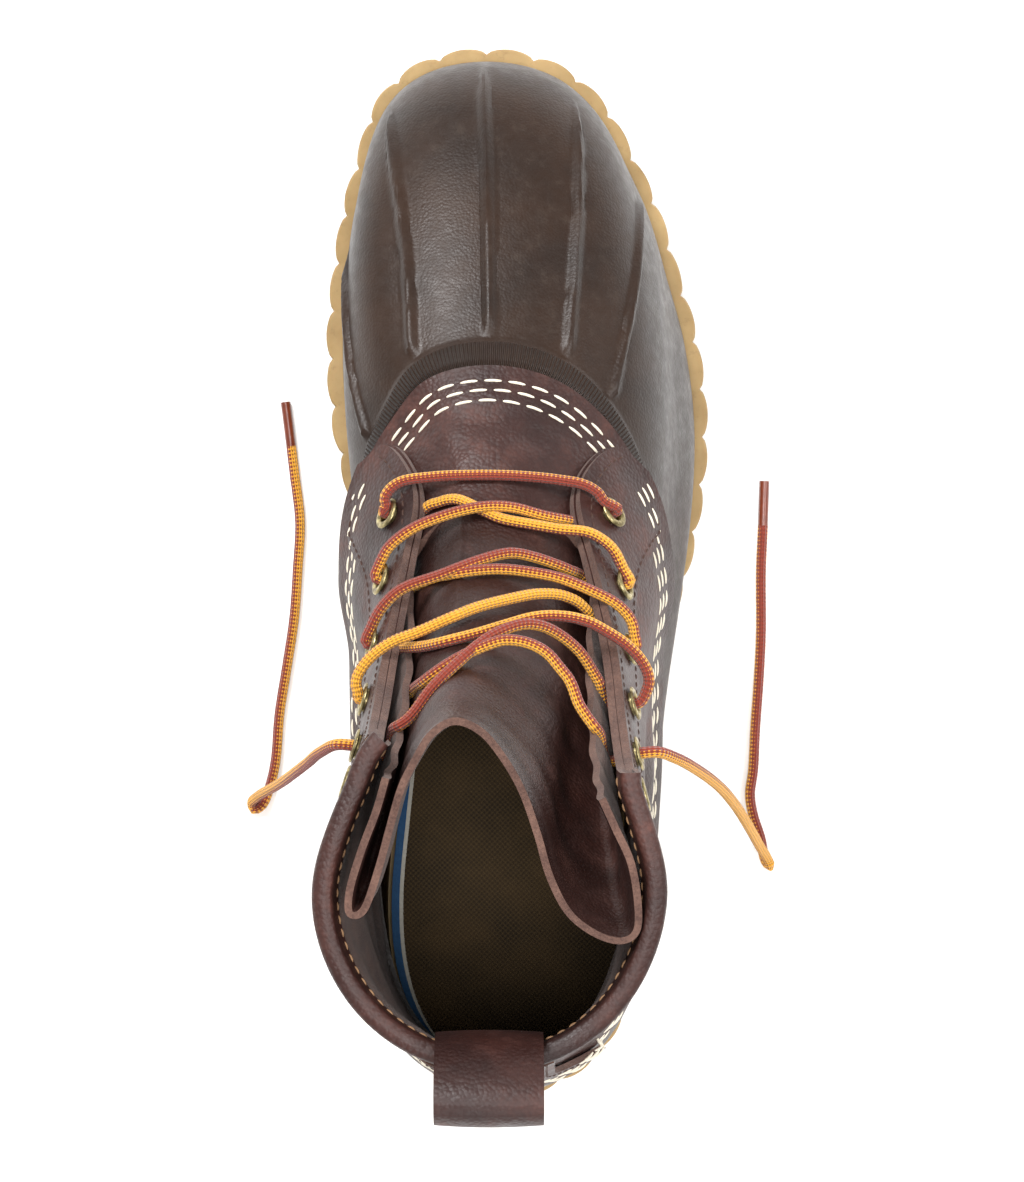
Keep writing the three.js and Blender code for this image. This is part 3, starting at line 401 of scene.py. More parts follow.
# %% [markdown]
# ## The boot's main surface
# A last gives a boot its form, and all its pieces lie on that one form. It could be sculpted, but
# then the pieces would have to be fitted by eye. Here it is a function of an angle and a level, with
# the sizes and curves of the solids, so that each piece can be set off it by its own thickness.
# Level 0 is the feather edge on the sole, 1 the rubber's rim, and 2 the collar. Angle 0 is the toe,
# and a positive angle is on the lateral side, the right side of the photograph.

# %% Sizes
SOLE_LENGTH, BALL_WIDTH, SOLE_THICKNESS, TREAD_DEPTH = 301.0, 110.0, 6.5, 3.0
HEEL_LIFT, HEEL_SHARE, TOE_SPRING, BREAST = 11.0, 76 / 301, 9.0, 4.0
SOLE_MARGIN, SCALLOP_PITCH, SCALLOP_DEPTH = 4.2, 14.0, 1.8
VAMP_HEIGHT, SIDE_HEIGHT, COUNTER_HEIGHT, COLLAR_HEIGHT = 84.0, 60.0, 72.0, 204.0
RIM_LENGTH, RIM_WIDTH, COLLAR_LENGTH, COLLAR_WIDTH = 192.0, 82.0, 83.0, 76.0
RUBBER_WALL, LEATHER_WALL, TONGUE_WALL, FACING_WALL = 2.6, 2.0, 1.8, 1.4
GAP, LAYER_GAP, FACING_EASE, BINDING_WALL = 0.3, 0.45, 0.3, 1.2
RIB_WIDTH, RIB_HEIGHT, BAND_LEVEL, BAND_HEIGHT = 3.4, 1.7, 1 - 5 / 85, 0.8
RUBBER_TOP = 1 + 13.2 / 132
LACE_RADIUS = 1.45
SOLE_BACK = -SOLE_LENGTH / 2
SHAFT_LENGTH = 140  # millimetres from the rim, level 1, to the collar, level 2
BALL_ANGLE, BALL_SPAN = 66, 24  # where the ball of the foot lies, in degrees


# %% Curves
def mix(a, b, t):
    """A value between two."""
    return a + (b - a) * t


def smooth(x, low, high):
    """0 below low, 1 above high, and a smooth step between them."""
    t = np.clip((x - low) / (high - low), 0, 1)
    return t * t * (3 - 2 * t)


def through(knots, values, at):
    """A smooth curve through the values at the knots."""
    knots, values = np.asarray(knots, float), np.asarray(values, float)
    index = np.arange(len(knots))
    low, high = np.maximum(index - 1, 0), np.minimum(index + 1, len(knots) - 1)
    slope = (values[high] - values[low]) / (knots[high] - knots[low])
    i = np.clip(np.searchsorted(knots, at) - 1, 0, len(knots) - 2)
    span = knots[i + 1] - knots[i]
    t = np.clip((at - knots[i]) / span, 0, 1)
    s = 1 - t
    ends = values[i] * s * s * (1 + 2 * t) + values[i + 1] * t * t * (1 + 2 * s)
    return ends + span * (slope[i] * s * s * t - slope[i + 1] * t * t * s)


def outline(length, width, front_radius, back_radius, back, axis_back, axis_front, rows):
    """A closed outline from above. Its rows are (share of length, medial, lateral half width)."""
    shares = [0.0] + [row[0] for row in rows] + [1.0]
    fullness = [math.sqrt(r * length / 2) for r in (back_radius, front_radius)]

    def table(column):
        inner = [row[column] * width / (2 * math.sqrt(row[0] * (1 - row[0]))) for row in rows]
        return [fullness[0], *inner, fullness[1]]

    medial, lateral = table(1), table(2)

    def line(angle):
        at = (1 + np.cos(angle)) / 2
        half = np.where(np.sin(angle) < 0, through(shares, medial, at), through(shares, lateral, at))
        x = mix(axis_back, axis_front, at) + np.sin(angle) * half
        return np.stack([x, back + at * length, 0 * x], axis=-1)

    return line


def unit(v):
    """Directions of length 1."""
    return v / np.maximum(np.linalg.norm(v, axis=-1, keepdims=True), 1e-9)


def outward(line, angle, step=0.01):
    """The outward direction of an outline. A longer step evens out its small kinks."""
    along = line(angle + step) - line(angle - step)
    return unit(np.stack([-along[..., 1], along[..., 0], 0 * along[..., 0]], axis=-1))


# Share of the length, and the medial and the lateral half width as shares of the width.
SOLE_ROWS = [
    (0.03, 0.214, 0.216), (0.12, 0.344, 0.355), (0.19, 0.356, 0.376), (0.27, 0.334, 0.387),
    (0.35, 0.311, 0.409), (0.43, 0.315, 0.445), (0.515, 0.347, 0.515), (0.58, 0.388, 0.55),
    (0.65, 0.424, 0.562), (0.73, 0.431, 0.538), (0.795, 0.412, 0.49), (0.86, 0.377, 0.434),
    (0.91, 0.335, 0.368), (0.965, 0.26, 0.266),
]
RIM_ROWS = [
    (0.12, 0.385, 0.425), (0.3, 0.455, 0.505), (0.44, 0.463, 0.53), (0.58, 0.463, 0.54),
    (0.7, 0.457, 0.546), (0.8, 0.436, 0.52), (0.88, 0.378, 0.447), (0.95, 0.272, 0.318),
]
COLLAR_ROWS = [(0.2, 0.415, 0.41), (0.45, 0.505, 0.505), (0.75, 0.41, 0.43), (0.9, 0.32, 0.37)]
AXIS_HEEL, AXIS_TOE = -0.033 * BALL_WIDTH, -0.08 * BALL_WIDTH
sole_line = outline(SOLE_LENGTH, BALL_WIDTH, 54, 35, SOLE_BACK, AXIS_HEEL, AXIS_TOE, SOLE_ROWS)
rim_line = outline(
    RIM_LENGTH, RIM_WIDTH, 44, 35, SOLE_BACK + 13, -0.05 * RIM_WIDTH, -0.095 * RIM_WIDTH, RIM_ROWS
)
collar_axis = -0.09 * COLLAR_WIDTH
collar_line = outline(
    COLLAR_LENGTH, COLLAR_WIDTH, 38.5 * 1.15, 38.5, SOLE_BACK + 35, collar_axis, collar_axis, COLLAR_ROWS
)


def around(front, side, back, front_power=2):
    """A size that changes smoothly from the front, over the sides, to the back."""

    def size(angle):
        c = np.cos(angle)
        return side + np.where(c > 0, (front - side) * np.abs(c) ** front_power, (back - side) * c * c)

    return size


def tucked(size, medial, lateral):
    """A size that is less beside the ball of the foot, where the rubber stands upright."""

    def less(angle):
        turn = np.degrees(np.arccos(np.clip(np.cos(angle), -1, 1)))
        near_ball = np.exp(-(((turn - BALL_ANGLE) / BALL_SPAN) ** 2))
        return size(angle) - np.where(np.sin(angle) < 0, medial, lateral) * near_ball

    return less


def sole_top(at):
    """Height of the sole's top at a share of its length."""
    heel = HEEL_LIFT * (1 - smooth(at, HEEL_SHARE * 0.9, 0.6))
    return TREAD_DEPTH + SOLE_THICKNESS + heel + TOE_SPRING * np.maximum(0, (at - 0.72) / 0.28) ** 2


def sole_underside(at):
    """Height of the sole's underside above the tread bars."""
    on_heel = 1 - np.clip((at - HEEL_SHARE) / (BREAST / SOLE_LENGTH), 0, 1)
    return mix(sole_top(at) - SOLE_THICKNESS, TREAD_DEPTH, on_heel)


def share_of(y):
    """How far along the sole a place lies, from 0 at the heel to 1 at the toe."""
    return np.clip((y - SOLE_BACK) / SOLE_LENGTH, 0, 1)


def with_height(p, z):
    """The same places from above, at another height."""
    p = p.copy()
    p[..., 2] = z
    return p


def feather_point(angle):
    """The edge where the boot's form meets the sole."""
    p = sole_line(angle) - SOLE_MARGIN * outward(sole_line, angle)
    return with_height(p, sole_top(share_of(p[..., 1])) + GAP)


rim_height = around(VAMP_HEIGHT, SIDE_HEIGHT, COUNTER_HEIGHT)
collar_level = around(COLLAR_HEIGHT - 4, COLLAR_HEIGHT - 1, COLLAR_HEIGHT)
feather_rise = around(VAMP_HEIGHT * 0.43, SIDE_HEIGHT * 0.36, COUNTER_HEIGHT * 0.3)
feather_swell = tucked(around(SOLE_LENGTH * 0.01, BALL_WIDTH * 0.055, SOLE_LENGTH * 0.018), 6, 3)
rim_fall = around(VAMP_HEIGHT * 0.22, SIDE_HEIGHT * 0.36, COUNTER_HEIGHT * 0.3)
rim_swell = tucked(around(RIM_LENGTH * 0.23, RIM_WIDTH * 0.045, RIM_LENGTH * 0.02, 3), 8, 3)
shaft_rise = around(VAMP_HEIGHT * 0.17, SIDE_HEIGHT * 0.6, COUNTER_HEIGHT * 0.4)
shaft_draw = around(RIM_LENGTH * 0.2, RIM_WIDTH * 0.12, RIM_LENGTH * 0.036)
collar_fall = around(COLLAR_HEIGHT * 0.27, COLLAR_HEIGHT * 0.2, COLLAR_HEIGHT * 0.25)
collar_swell = around(0, COLLAR_WIDTH * -0.09, COLLAR_LENGTH * 0.05)
UP = np.array([0.0, 0.0, 1.0])


def surface(angle, level):
    """Points of the main surface."""
    angle, level = np.broadcast_arrays(np.asarray(angle, float), np.asarray(level, float))

    def pulled(start, direction, reach, rise):
        return start + direction * reach[..., None] + UP * rise[..., None]

    def cubic(a, b, c, d, t):
        t = t[..., None]
        return a * (1 - t) ** 3 + 3 * b * (1 - t) ** 2 * t + 3 * c * (1 - t) * t * t + d * t**3

    rim = with_height(rim_line(angle), rim_height(angle))
    rim_out = outward(rim_line, angle, 0.14)
    feather = feather_point(angle)
    collar = with_height(collar_line(angle), collar_level(angle))
    low = cubic(
        feather,
        pulled(feather, outward(sole_line, angle), feather_swell(angle), feather_rise(angle)),
        pulled(rim, rim_out, rim_swell(angle), -rim_fall(angle)),
        rim,
        level,
    )
    high = cubic(
        rim,
        pulled(rim, rim_out, -shaft_draw(angle), shaft_rise(angle)),
        pulled(collar, outward(collar_line, angle), collar_swell(angle), -collar_fall(angle)),
        collar,
        level - 1,
    )
    return np.where((level <= 1)[..., None], low, high)


def normals(angle, level):
    """Outward normals of the main surface."""
    angle, level = np.broadcast_arrays(np.asarray(angle, float), np.asarray(level, float))
    step = 0.004
    side = surface(angle + step, level) - surface(angle - step, level)
    top = np.where((level - step < 1) & (level + step > 1), 1.0, level + step)
    low = np.where(level < step, 0.0, np.where(top == 1.0, 1 - step, level - step))
    return -unit(np.cross(side, surface(angle, top) - surface(angle, low)))


def off_surface(angle, level, distance):
    """Points that stand a distance off the main surface."""
    distance = np.asarray(distance, float)
    return surface(angle, level) + normals(angle, level) * distance[..., None]


# %% [markdown]
# ## Folds in the leather
# The leather bends at the ankle and where the vamp flexes. A cloth simulation would place such folds
# by chance, and thick leather keeps the ones that its wearer made. So each fold is listed, as a
# soft trough with a low ridge on either side.

# %% Folds
SHAFT_RADIUS = 46.0
# Angle and level of both ends, half width and depth in millimetres. Lateral angles are positive.
SHAFT_FOLDS = [
    (84, 1.16, 122, 1.3, 6, 1.5), (88, 1.32, 134, 1.42, 7, 1.7), (96, 1.5, 150, 1.47, 6, 1.2),
    (118, 1.24, 158, 1.2, 6, 0.9), (100, 1.64, 140, 1.68, 8, 1.2), (128, 1.8, 165, 1.74, 8, 0.9),
    (92, 1.86, 118, 1.78, 7, 0.8), (-84, 1.2, -126, 1.32, 6, 1.5), (-90, 1.37, -138, 1.4, 7, 1.6),
    (-98, 1.52, -150, 1.5, 6, 1.1), (-120, 1.22, -160, 1.26, 6, 0.9), (-96, 1.7, -142, 1.63, 8, 1.2),
    (-130, 1.82, -166, 1.76, 8, 0.9), (-88, 1.8, -110, 1.88, 7, 0.8), (78, 1.09, 104, 1.08, 5, 0.8),
    (-78, 1.1, -106, 1.12, 5, 0.8),
]
VAMP_FOLDS = [
    (-30, 1.1, 26, 1.12, 4, 0.6), (-22, 1.17, 12, 1.15, 4, 0.6), (-6, 1.2, 30, 1.18, 4, 0.5),
    (-34, 1.055, -6, 1.05, 3, 0.3), (8, 1.05, 34, 1.06, 3, 0.3),
]


def folds(table, angle, level):
    """How far the leather stands out at each place, in millimetres."""
    across, rise = angle * SHAFT_RADIUS, level * SHAFT_LENGTH
    total = np.zeros(np.broadcast(across, rise).shape)
    for angle_a, level_a, angle_b, level_b, width, depth in table:
        start = np.array([math.radians(angle_a) * SHAFT_RADIUS, level_a * SHAFT_LENGTH])
        run = np.array([math.radians(angle_b) * SHAFT_RADIUS, level_b * SHAFT_LENGTH]) - start
        t = ((across - start[0]) * run[0] + (rise - start[1]) * run[1]) / (run @ run)
        held = np.clip(t, 0, 1)
        wave = 1.5 * np.sin(held * 7 + angle_a)
        off_across = across - start[0] - held * run[0]
        distance = np.hypot(off_across, rise - start[1] - held * run[1] + wave)
        taper = np.sin(math.pi * np.clip(0.06 + 0.88 * held, 0, 1))
        trough = -depth * np.exp(-((distance / width) ** 2))
        ridge = 0.5 * depth * np.exp(-(((distance - 1.8 * width) / width) ** 2))
        total = total + (trough + ridge) * taper
    return total


def shaft_relief(angle, level):
    """Folds and soft bulges of the shaft, away from its sewn edges."""
    free = smooth(np.abs(angle), math.radians(74), math.radians(90)) * (1 - smooth(level, 1.9, 1.99))
    soft = 0.5 * np.sin(angle * 5.3 + level * 9) * np.sin(level * 17 + angle * 2.1)
    return (folds(SHAFT_FOLDS, angle, level) + soft) * free * smooth(level, 1.0, 1.05)


# %% [markdown]
# ## How the layers lie
# Each layer stands off the boot's form by what lies under it. The quarters lie over the vamp's ends,
# the facings over the quarters, and the tongue sinks away inside. A small gap keeps every two
# layers apart. One function for each layer gives its distance, so that stitches, holes and
# eyelets can ask it too.

# %% Layers
# Level, medial and lateral angle in degrees, of the quarters' front edges.
QUARTER_EDGE = np.array([
    (1, 43, 45), (1.05, 36.5, 37.5), (1.15, 34.5, 33.5), (1.26, 35.5, 33), (1.37, 42.5, 40),
    (1.49, 48.5, 48), (1.6, 52, 56), (1.75, 50, 60), (1.88, 43, 57), (2, 38, 52),
])
# Level, medial and lateral angle in degrees, of the eyelets.
EYELETS = [
    (1.24, 45, 44), (1.345, 53.5, 54.5), (1.45, 60.5, 61.5), (1.55, 65.5, 66.5), (1.67, 67.5, 69.5),
    (1.8, 68, 71.5),
]
SIDES = {"medial": -1, "lateral": 1}


def edge_angle(side, level):
    """The angle of a quarter's front edge."""
    column = 1 if side < 0 else 2
    return side * np.radians(through(QUARTER_EDGE[:, 0], QUARTER_EDGE[:, column], level))


def quarter_stand(angle, level):
    """How far the quarters' inner face stands off the form."""
    over_vamp = 1 - smooth(np.abs(angle), math.radians(66), math.radians(80))
    return GAP + (LEATHER_WALL + 0.95) * over_vamp * (1 - smooth(level, 1.14, 1.34))


def facing_stand(angle, level):
    """How far a facing stands off the form."""
    return quarter_stand(angle, level) + LEATHER_WALL + LAYER_GAP + FACING_EASE


def vamp_stand(level):
    """How far the vamp stands off the form: it sinks away under the quarters."""
    return LAYER_GAP - (LEATHER_WALL + LAYER_GAP + 0.5) * smooth(level, 1.15, 1.3)


STACK = LEATHER_WALL + LAYER_GAP + FACING_EASE + FACING_WALL
SHEET = [LEATHER, SUEDE, LINING]  # the finish of a sheet's outside, cut edges and inside

# %% [markdown]
# ## Building blocks
# Leather is cut from sheets, and a lace is a tube. A sheet could be a plane with a thickness modifier,
# but here it is two grids of points with its edges walled in, so that holes and cut edges are real and
# have their own finish. Both carry their real sizes in millimetres in their texture coordinates.


# %% Mesh helpers
def face_out(mesh):
    """Turns every face outwards."""
    shape = bmesh.new()
    shape.from_mesh(mesh)
    bmesh.ops.recalc_face_normals(shape, faces=shape.faces)
    shape.to_mesh(mesh)
    shape.free()


def make_piece(name, nodes, points, faces, materials, slots=None, uvs=None, crease=40):
    """A mesh from points in millimetres, that stands for the named solids."""
    mesh = bpy.data.meshes.new(name)
    mesh.from_pydata((np.asarray(points) * MM).tolist(), [], [list(f) for f in faces])
    for material in materials:
        mesh.materials.append(material)
    if slots is not None:
        mesh.polygons.foreach_set("material_index", np.asarray(slots, dtype=np.int32))
    if uvs is not None:
        layer = mesh.uv_layers.new(name="UVMap")
        corners = np.empty(len(mesh.loops), dtype=np.int32)
        mesh.loops.foreach_get("vertex_index", corners)
        layer.data.foreach_set("uv", np.asarray(uvs, float)[corners].ravel())
    face_out(mesh)
    mesh.shade_smooth()
    mesh.set_sharp_from_angle(angle=math.radians(crease))
    mesh.validate()
    piece = bpy.data.objects.new(name, mesh)
    bpy.context.scene.collection.objects.link(piece)
    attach(piece, "root")
    if nodes:
        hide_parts(*nodes)
    print(name, len(mesh.polygons), "faces")
    return piece


def sheet_parts(outer, inner, keep=None, across=None, slots=None):
    """Points, faces, face slots and texture coordinates of a sheet between two grids of points.

    Slot 0 is the outside, 1 the edges and 2 the inside. Keep leaves out the faces of a hole.
    """
    rows, columns = outer.shape[:2]
    count = rows * columns
    points = np.concatenate([outer.reshape(-1, 3), inner.reshape(-1, 3)])
    keep = np.ones((rows - 1, columns - 1), bool) if keep is None else keep
    row, column = np.nonzero(keep)
    a, b = row * columns + column, row * columns + column + 1
    c, d = (row + 1) * columns + column + 1, (row + 1) * columns + column
    faces = [np.stack([d, c, b, a], 1), np.stack([a, b, c, d], 1) + count]
    outer_slots = np.zeros(len(a), int) if slots is None else slots[row, column]
    kinds = [outer_slots, np.full(len(a), 2)]
    framed = np.zeros((rows + 1, columns + 1), bool)
    framed[1:-1, 1:-1] = keep
    sides = {(0, 1): (a, b), (2, 1): (c, d), (1, 0): (d, a), (1, 2): (b, c)}
    for shift, (first, second) in sides.items():
        bare = ~framed[row + shift[0], column + shift[1]]
        p, q = first[bare], second[bare]
        faces.append(np.stack([p, q, q + count, p + count], 1))
        kinds.append(np.ones(len(p), int))
    step_u = np.linalg.norm(np.diff(outer, axis=1), axis=2)
    step_v = np.linalg.norm(np.diff(outer, axis=0), axis=2)
    reference = step_u[rows // 2] if across is None else step_u[across]
    u = np.broadcast_to(np.concatenate([[0], np.cumsum(reference)]), (rows, columns))
    v = np.concatenate([np.zeros((1, columns)), np.cumsum(step_v, axis=0)])
    uvs = np.tile(np.stack([u, v], axis=-1).reshape(-1, 2), (2, 1))
    return points, np.concatenate(faces), np.concatenate(kinds), uvs


def join_parts(parts):
    """Joins several (points, faces, slots, uvs) into one."""
    start, all_faces = 0, []
    for points, faces, _, _ in parts:
        all_faces += [[int(i) + start for i in face] for face in faces]
        start += len(points)
    points, slots, uvs = (np.concatenate([p[i] for p in parts]) for i in (0, 2, 3))
    return points, all_faces, slots, uvs


def walked_along(path):
    """The length walked at each point of a path."""
    return np.concatenate([[0], np.cumsum(np.linalg.norm(np.diff(path, axis=0), axis=1))])


def curve_through(points, spacing):
    """Evenly spaced points on a smooth curve through the given ones."""
    points = np.asarray(points, float)
    ends = np.vstack([2 * points[0] - points[1], points, 2 * points[-1] - points[-2]])
    fine = []
    for p0, p1, p2, p3 in zip(ends, ends[1:], ends[2:], ends[3:]):
        pairs = ((p0, p1), (p1, p2), (p2, p3))
        k1, k2, k3 = (max(np.linalg.norm(b - a), 1e-6) ** 0.5 for a, b in pairs)
        m1 = k2 * ((p1 - p0) / k1 - (p2 - p0) / (k1 + k2) + (p2 - p1) / k2)
        m2 = k2 * ((p2 - p1) / k2 - (p3 - p1) / (k2 + k3) + (p3 - p2) / k3)
        t = np.linspace(0, 1, 24, endpoint=False)[:, None]
        square, cube = 3 * (p2 - p1) - 2 * m1 - m2, -2 * (p2 - p1) + m1 + m2
        fine.append(p1 + m1 * t + square * t**2 + cube * t**3)
    fine = np.vstack([*fine, points[-1:]])
    walked = walked_along(fine)
    even = np.linspace(0, walked[-1], max(2, int(walked[-1] / spacing) + 1))
    return np.stack([np.interp(even, walked, fine[:, k]) for k in range(3)], axis=1), walked[-1]


def tube_parts(path, radius, sides=16, tip=0.0):
    """A round tube along evenly spaced points. Its last tip millimetres take slot 1."""
    count = len(path)
    radius = np.broadcast_to(np.asarray(radius, float), (count,))
    along = unit(np.gradient(path, axis=0))
    side = unit(np.cross(along[0], UP if abs(along[0][2]) < 0.9 else np.array([1.0, 0, 0])))
    turns = np.linspace(0, 2 * math.pi, sides + 1)
    rings = []
    for p, a, r in zip(path, along, radius):
        side = unit(side - a * (side @ a))
        over = np.cross(a, side)
        rings.append(p + r * (np.cos(turns)[:, None] * side + np.sin(turns)[:, None] * over))
    points = np.concatenate([np.concatenate(rings), path[[0, -1]]])
    row, k = np.meshgrid(np.arange(count - 1), np.arange(sides), indexing="ij")
    a = (row * (sides + 1) + k).ravel()
    faces = np.stack([a, a + 1, a + sides + 2, a + sides + 1], 1).tolist()
    last = (count - 1) * (sides + 1)
    for k in range(sides):
        faces += [[len(points) - 2, k + 1, k], [len(points) - 1, last + k, last + k + 1]]
    walked = walked_along(path)
    u = np.tile(turns / (2 * math.pi), count)
    v = np.repeat(walked, sides + 1)
    uvs = np.concatenate([np.stack([u, v], 1), [[0, 0], [0, walked[-1]]]])
    slots = np.repeat((walked[:-1] > walked[-1] - tip).astype(int), sides).tolist()
    slots += [0, 1 if tip else 0] * sides
    return points, faces, np.array(slots), uvs


def stitch_parts(path, out, pitch=6.5, length=5.8, radius=0.4, sink=0.1):
    """Stitches along a path, each a plump thread that dips into the leather at both ends."""
    walked = walked_along(path)
    starts = np.arange(0.5, walked[-1] - length, pitch)
    parts = []
    for start in starts:
        at = start + np.linspace(0, length, 7)
        line, lift = (
            np.stack([np.interp(at, walked, given[:, k]) for k in range(3)], axis=1) for given in (path, out)
        )
        lift = unit(lift)
        dip = np.array([-0.9, -0.2, 0.15, 0.25, 0.15, -0.2, -0.9]) * radius - sink
        swell = radius * np.array([0.55, 0.9, 1, 1, 1, 0.9, 0.55])
        parts.append(tube_parts(line + lift * dip[:, None], swell, 8))
    return parts


# %% [markdown]
# ## The free lace ends
# Both ends of the lace leave the fifth eyelets, hang down the shaft and lie forward on the floor,
# folded sharply where they reach it. A cord could be simulated, but it would not fall as in the
# photograph. They are swept along the same points as their solids.

# %% Free lace ends
FLOOR = 1.65  # height of the lace's middle where it lies on the floor
TIP_LENGTH = 14
LACE_ENDS = {
    "medial": [
        (-40.9, -44, 155.6), (-45, -43.8, 154), (-50, -46.2, 143), (-54, -49.5, 125), (-59, -53.5, 100),
        (-65.5, -58.5, 60), (-71.5, -62.5, 26), (-75.5, -65.2, 8), (-77.6, -67.4, 2.4), (-77, -69.4, FLOOR),
        (-74.6, -68, FLOOR), (-72.6, -63.2, FLOOR), (-70.8, -55.5, FLOOR), (-69.6, -41.4, FLOOR),
        (-67.4, -27.4, FLOOR), (-65.3, -13.3, FLOOR), (-64.3, 0.7, FLOOR), (-63.6, 14.8, FLOOR),
        (-65.2, 28.8, FLOOR), (-66.9, 42.9, FLOOR), (-67.8, 49.9, FLOOR),
    ],
    "lateral": [
        (30.3, -45.9, 156), (34.6, -45.6, 155.3), (40, -47.6, 148), (46.5, -51.6, 131), (53, -56.8, 108),
        (59, -63.4, 79), (65.5, -72.3, 42), (70.3, -79.4, 14), (73, -83.4, 3.6), (74.2, -86, FLOOR),
        (72.8, -84.6, FLOOR), (71.2, -77.5, FLOOR), (69.1, -71, FLOOR), (68.2, -65.1, FLOOR),
        (69.1, -58, FLOOR), (69.7, -46.1, FLOOR), (70.7, -32, FLOOR), (71.4, -18, FLOOR), (71.4, 0, FLOOR),
        (71.9, 12, FLOOR), (72.4, 26.8, FLOOR),
    ],
}
for side, points in LACE_ENDS.items():
    path, length = curve_through(points, 1.0)
    points, faces, slots, uvs = tube_parts(path, LACE_RADIUS, tip=TIP_LENGTH)
    node = f"lace_end_{side}"
    piece = make_piece(f"free_lace_{side}", [node], points, faces, [LACE, TIP], slots, uvs)
    print(f"{node} is {length:.1f} mm long")

# %% [markdown]
# ## Outsole
# The outsole is one moulding: a plate with a scalloped edge, a heel, and wavy tread bars. A plate with
# a displaced edge would be quick, but rings of points laid round the sole's outline give clean
# scallops and soft edges. The bars are separate strips, sunk a little into the plate.


# %% Outsole plate
def sole_ring(angles, inset, bulge, height_at, share=1.0):
    """A ring round the sole, drawn in by an inset, and towards the sole's axis by a share."""
    p = sole_line(angles) + outward(sole_line, angles) * (bulge - inset)[..., None]
    at = (1 + np.cos(angles)) / 2
    axis = mix(AXIS_HEEL, AXIS_TOE, at)
    p[..., 0] = axis + (p[..., 0] - axis) * share
    return with_height(p, height_at(share_of(p[..., 1])))


def evenly_spread(line, start, end, count):
    """Angles that lie evenly along an outline, and its length."""
    fine = np.linspace(start, end, 4000)
    walked = walked_along(line(fine))
    return np.interp(np.linspace(0, walked[-1], count), walked, fine), walked[-1]


_, sole_edge_length = evenly_spread(sole_line, 0, 2 * math.pi, 10)
scallops = 2 * round(sole_edge_length / SCALLOP_PITCH / 2)
angles, _ = evenly_spread(sole_line, 0, 2 * math.pi, scallops * 12 + 1)
angles = angles[:-1]
lobe = np.abs(np.sin(np.pi * np.arange(len(angles)) / 12)) ** 0.55
bulge = SCALLOP_DEPTH * (lobe - 0.6)
plain = 0 * bulge - SCALLOP_DEPTH
EDGE = 0.8  # how far the lower edge is rounded
rings = [sole_ring(angles, 0, plain, sole_underside, share) for share in (0.0, 0.3, 0.6, 0.85)]
rings.append(sole_ring(angles, EDGE, bulge, sole_underside))
rings.append(sole_ring(angles, 0, bulge, lambda at: sole_underside(at) + EDGE))
rings.append(sole_ring(angles, 0, bulge, lambda at: mix(sole_underside(at), sole_top(at), 0.5)))
for inset, drop in ((0, 1.3), (0.15, 0.7), (0.55, 0.2), (1.3, 0)):
    rings.append(sole_ring(angles, inset, bulge, lambda at, drop=drop: sole_top(at) - drop))
rings += [sole_ring(angles, 0, plain - 2, sole_top, share) for share in (0.94, 0.6, 0.3, 0.0)]
count = len(angles)
row, column = np.meshgrid(np.arange(len(rings) - 1), np.arange(count), indexing="ij")
a = (row * count + column).ravel()
b = (row * count + (column + 1) % count).ravel()
body_faces = np.stack([a + count, b + count, b, a], 1)
body = (np.concatenate(rings), body_faces, np.zeros(len(a), int), np.zeros((len(rings) * count, 2)))
print(scallops, "scallops round a sole edge of", round(float(sole_edge_length)), "mm")

# %% Tread bars
BAR_PITCH, BAR_HALF, BAR_MARGIN, BAR_WAVE = 14, 3.25, 6, 2.2


def tread_bar(y):
    """A wavy bar across the sole at a place along it, flat on the floor."""
    at = share_of(y)
    probe = share_of(y + (-BAR_HALF if at < 0.5 else BAR_HALF))
    angle = math.acos(np.clip(2 * probe - 1, -1, 1))
    left = sole_line(np.array(-angle))[0] + BAR_MARGIN
    right = sole_line(np.array(angle))[0] - BAR_MARGIN
    n = 49
    t = np.linspace(0, 1, n)
    x, middle = mix(left, right, t), y - BAR_WAVE * np.cos(4 * math.pi * t)
    flat = sole_underside(at) - TREAD_DEPTH < 0.3
    lines = []
    for offset, drop in (
        (-BAR_HALF, -0.6), (-BAR_HALF, 2.4), (-2.6, 3.0), (2.6, 3.0), (BAR_HALF, 2.4), (BAR_HALF, -0.6),
    ):
        yy = middle + offset
        under = TREAD_DEPTH + 0 * yy if flat else sole_underside(share_of(yy))
        lines.append(np.stack([x, yy, np.maximum(under - drop, 0)], 1))
    grid = np.stack(lines)
    faces = []
    for here, above in zip(range(0, 5 * n, n), range(n, 6 * n, n)):
        faces += [[here + k, above + k, above + k + 1, here + k + 1] for k in range(n - 1)]
    faces += [[r * n for r in range(5, -1, -1)], [r * n + n - 1 for r in range(6)]]
    faces += [[k, k + 1, 5 * n + k + 1, 5 * n + k] for k in range(n - 1)]
    return grid.reshape(-1, 3), faces, np.zeros(len(faces), int), np.zeros((6 * n, 2))


bars = []
for i in range(int(SOLE_LENGTH // BAR_PITCH)):
    y = SOLE_BACK + BAR_PITCH * (i + 0.62)
    at = (y - SOLE_BACK) / SOLE_LENGTH
    if at < HEEL_SHARE - 3.9 / SOLE_LENGTH or 0.5 < at < 1 - 5.2 / SOLE_LENGTH:
        bars.append(tread_bar(y))
points, faces, slots, uvs = join_parts([body, *bars])
make_piece("outsole_piece", ["outsole"], points, faces, [GUM], slots, uvs, crease=32)

# %% [markdown]
# ## Rubber bottom
# The rubber is moulded on a last in one piece: vamp, sides and counter, with five ribs over the toe
# and a milled band along its rim. The ribs could be carved by hand, but a table of where each one
# runs keeps them even. Each is raised by its distance from its own line, measured on the surface.

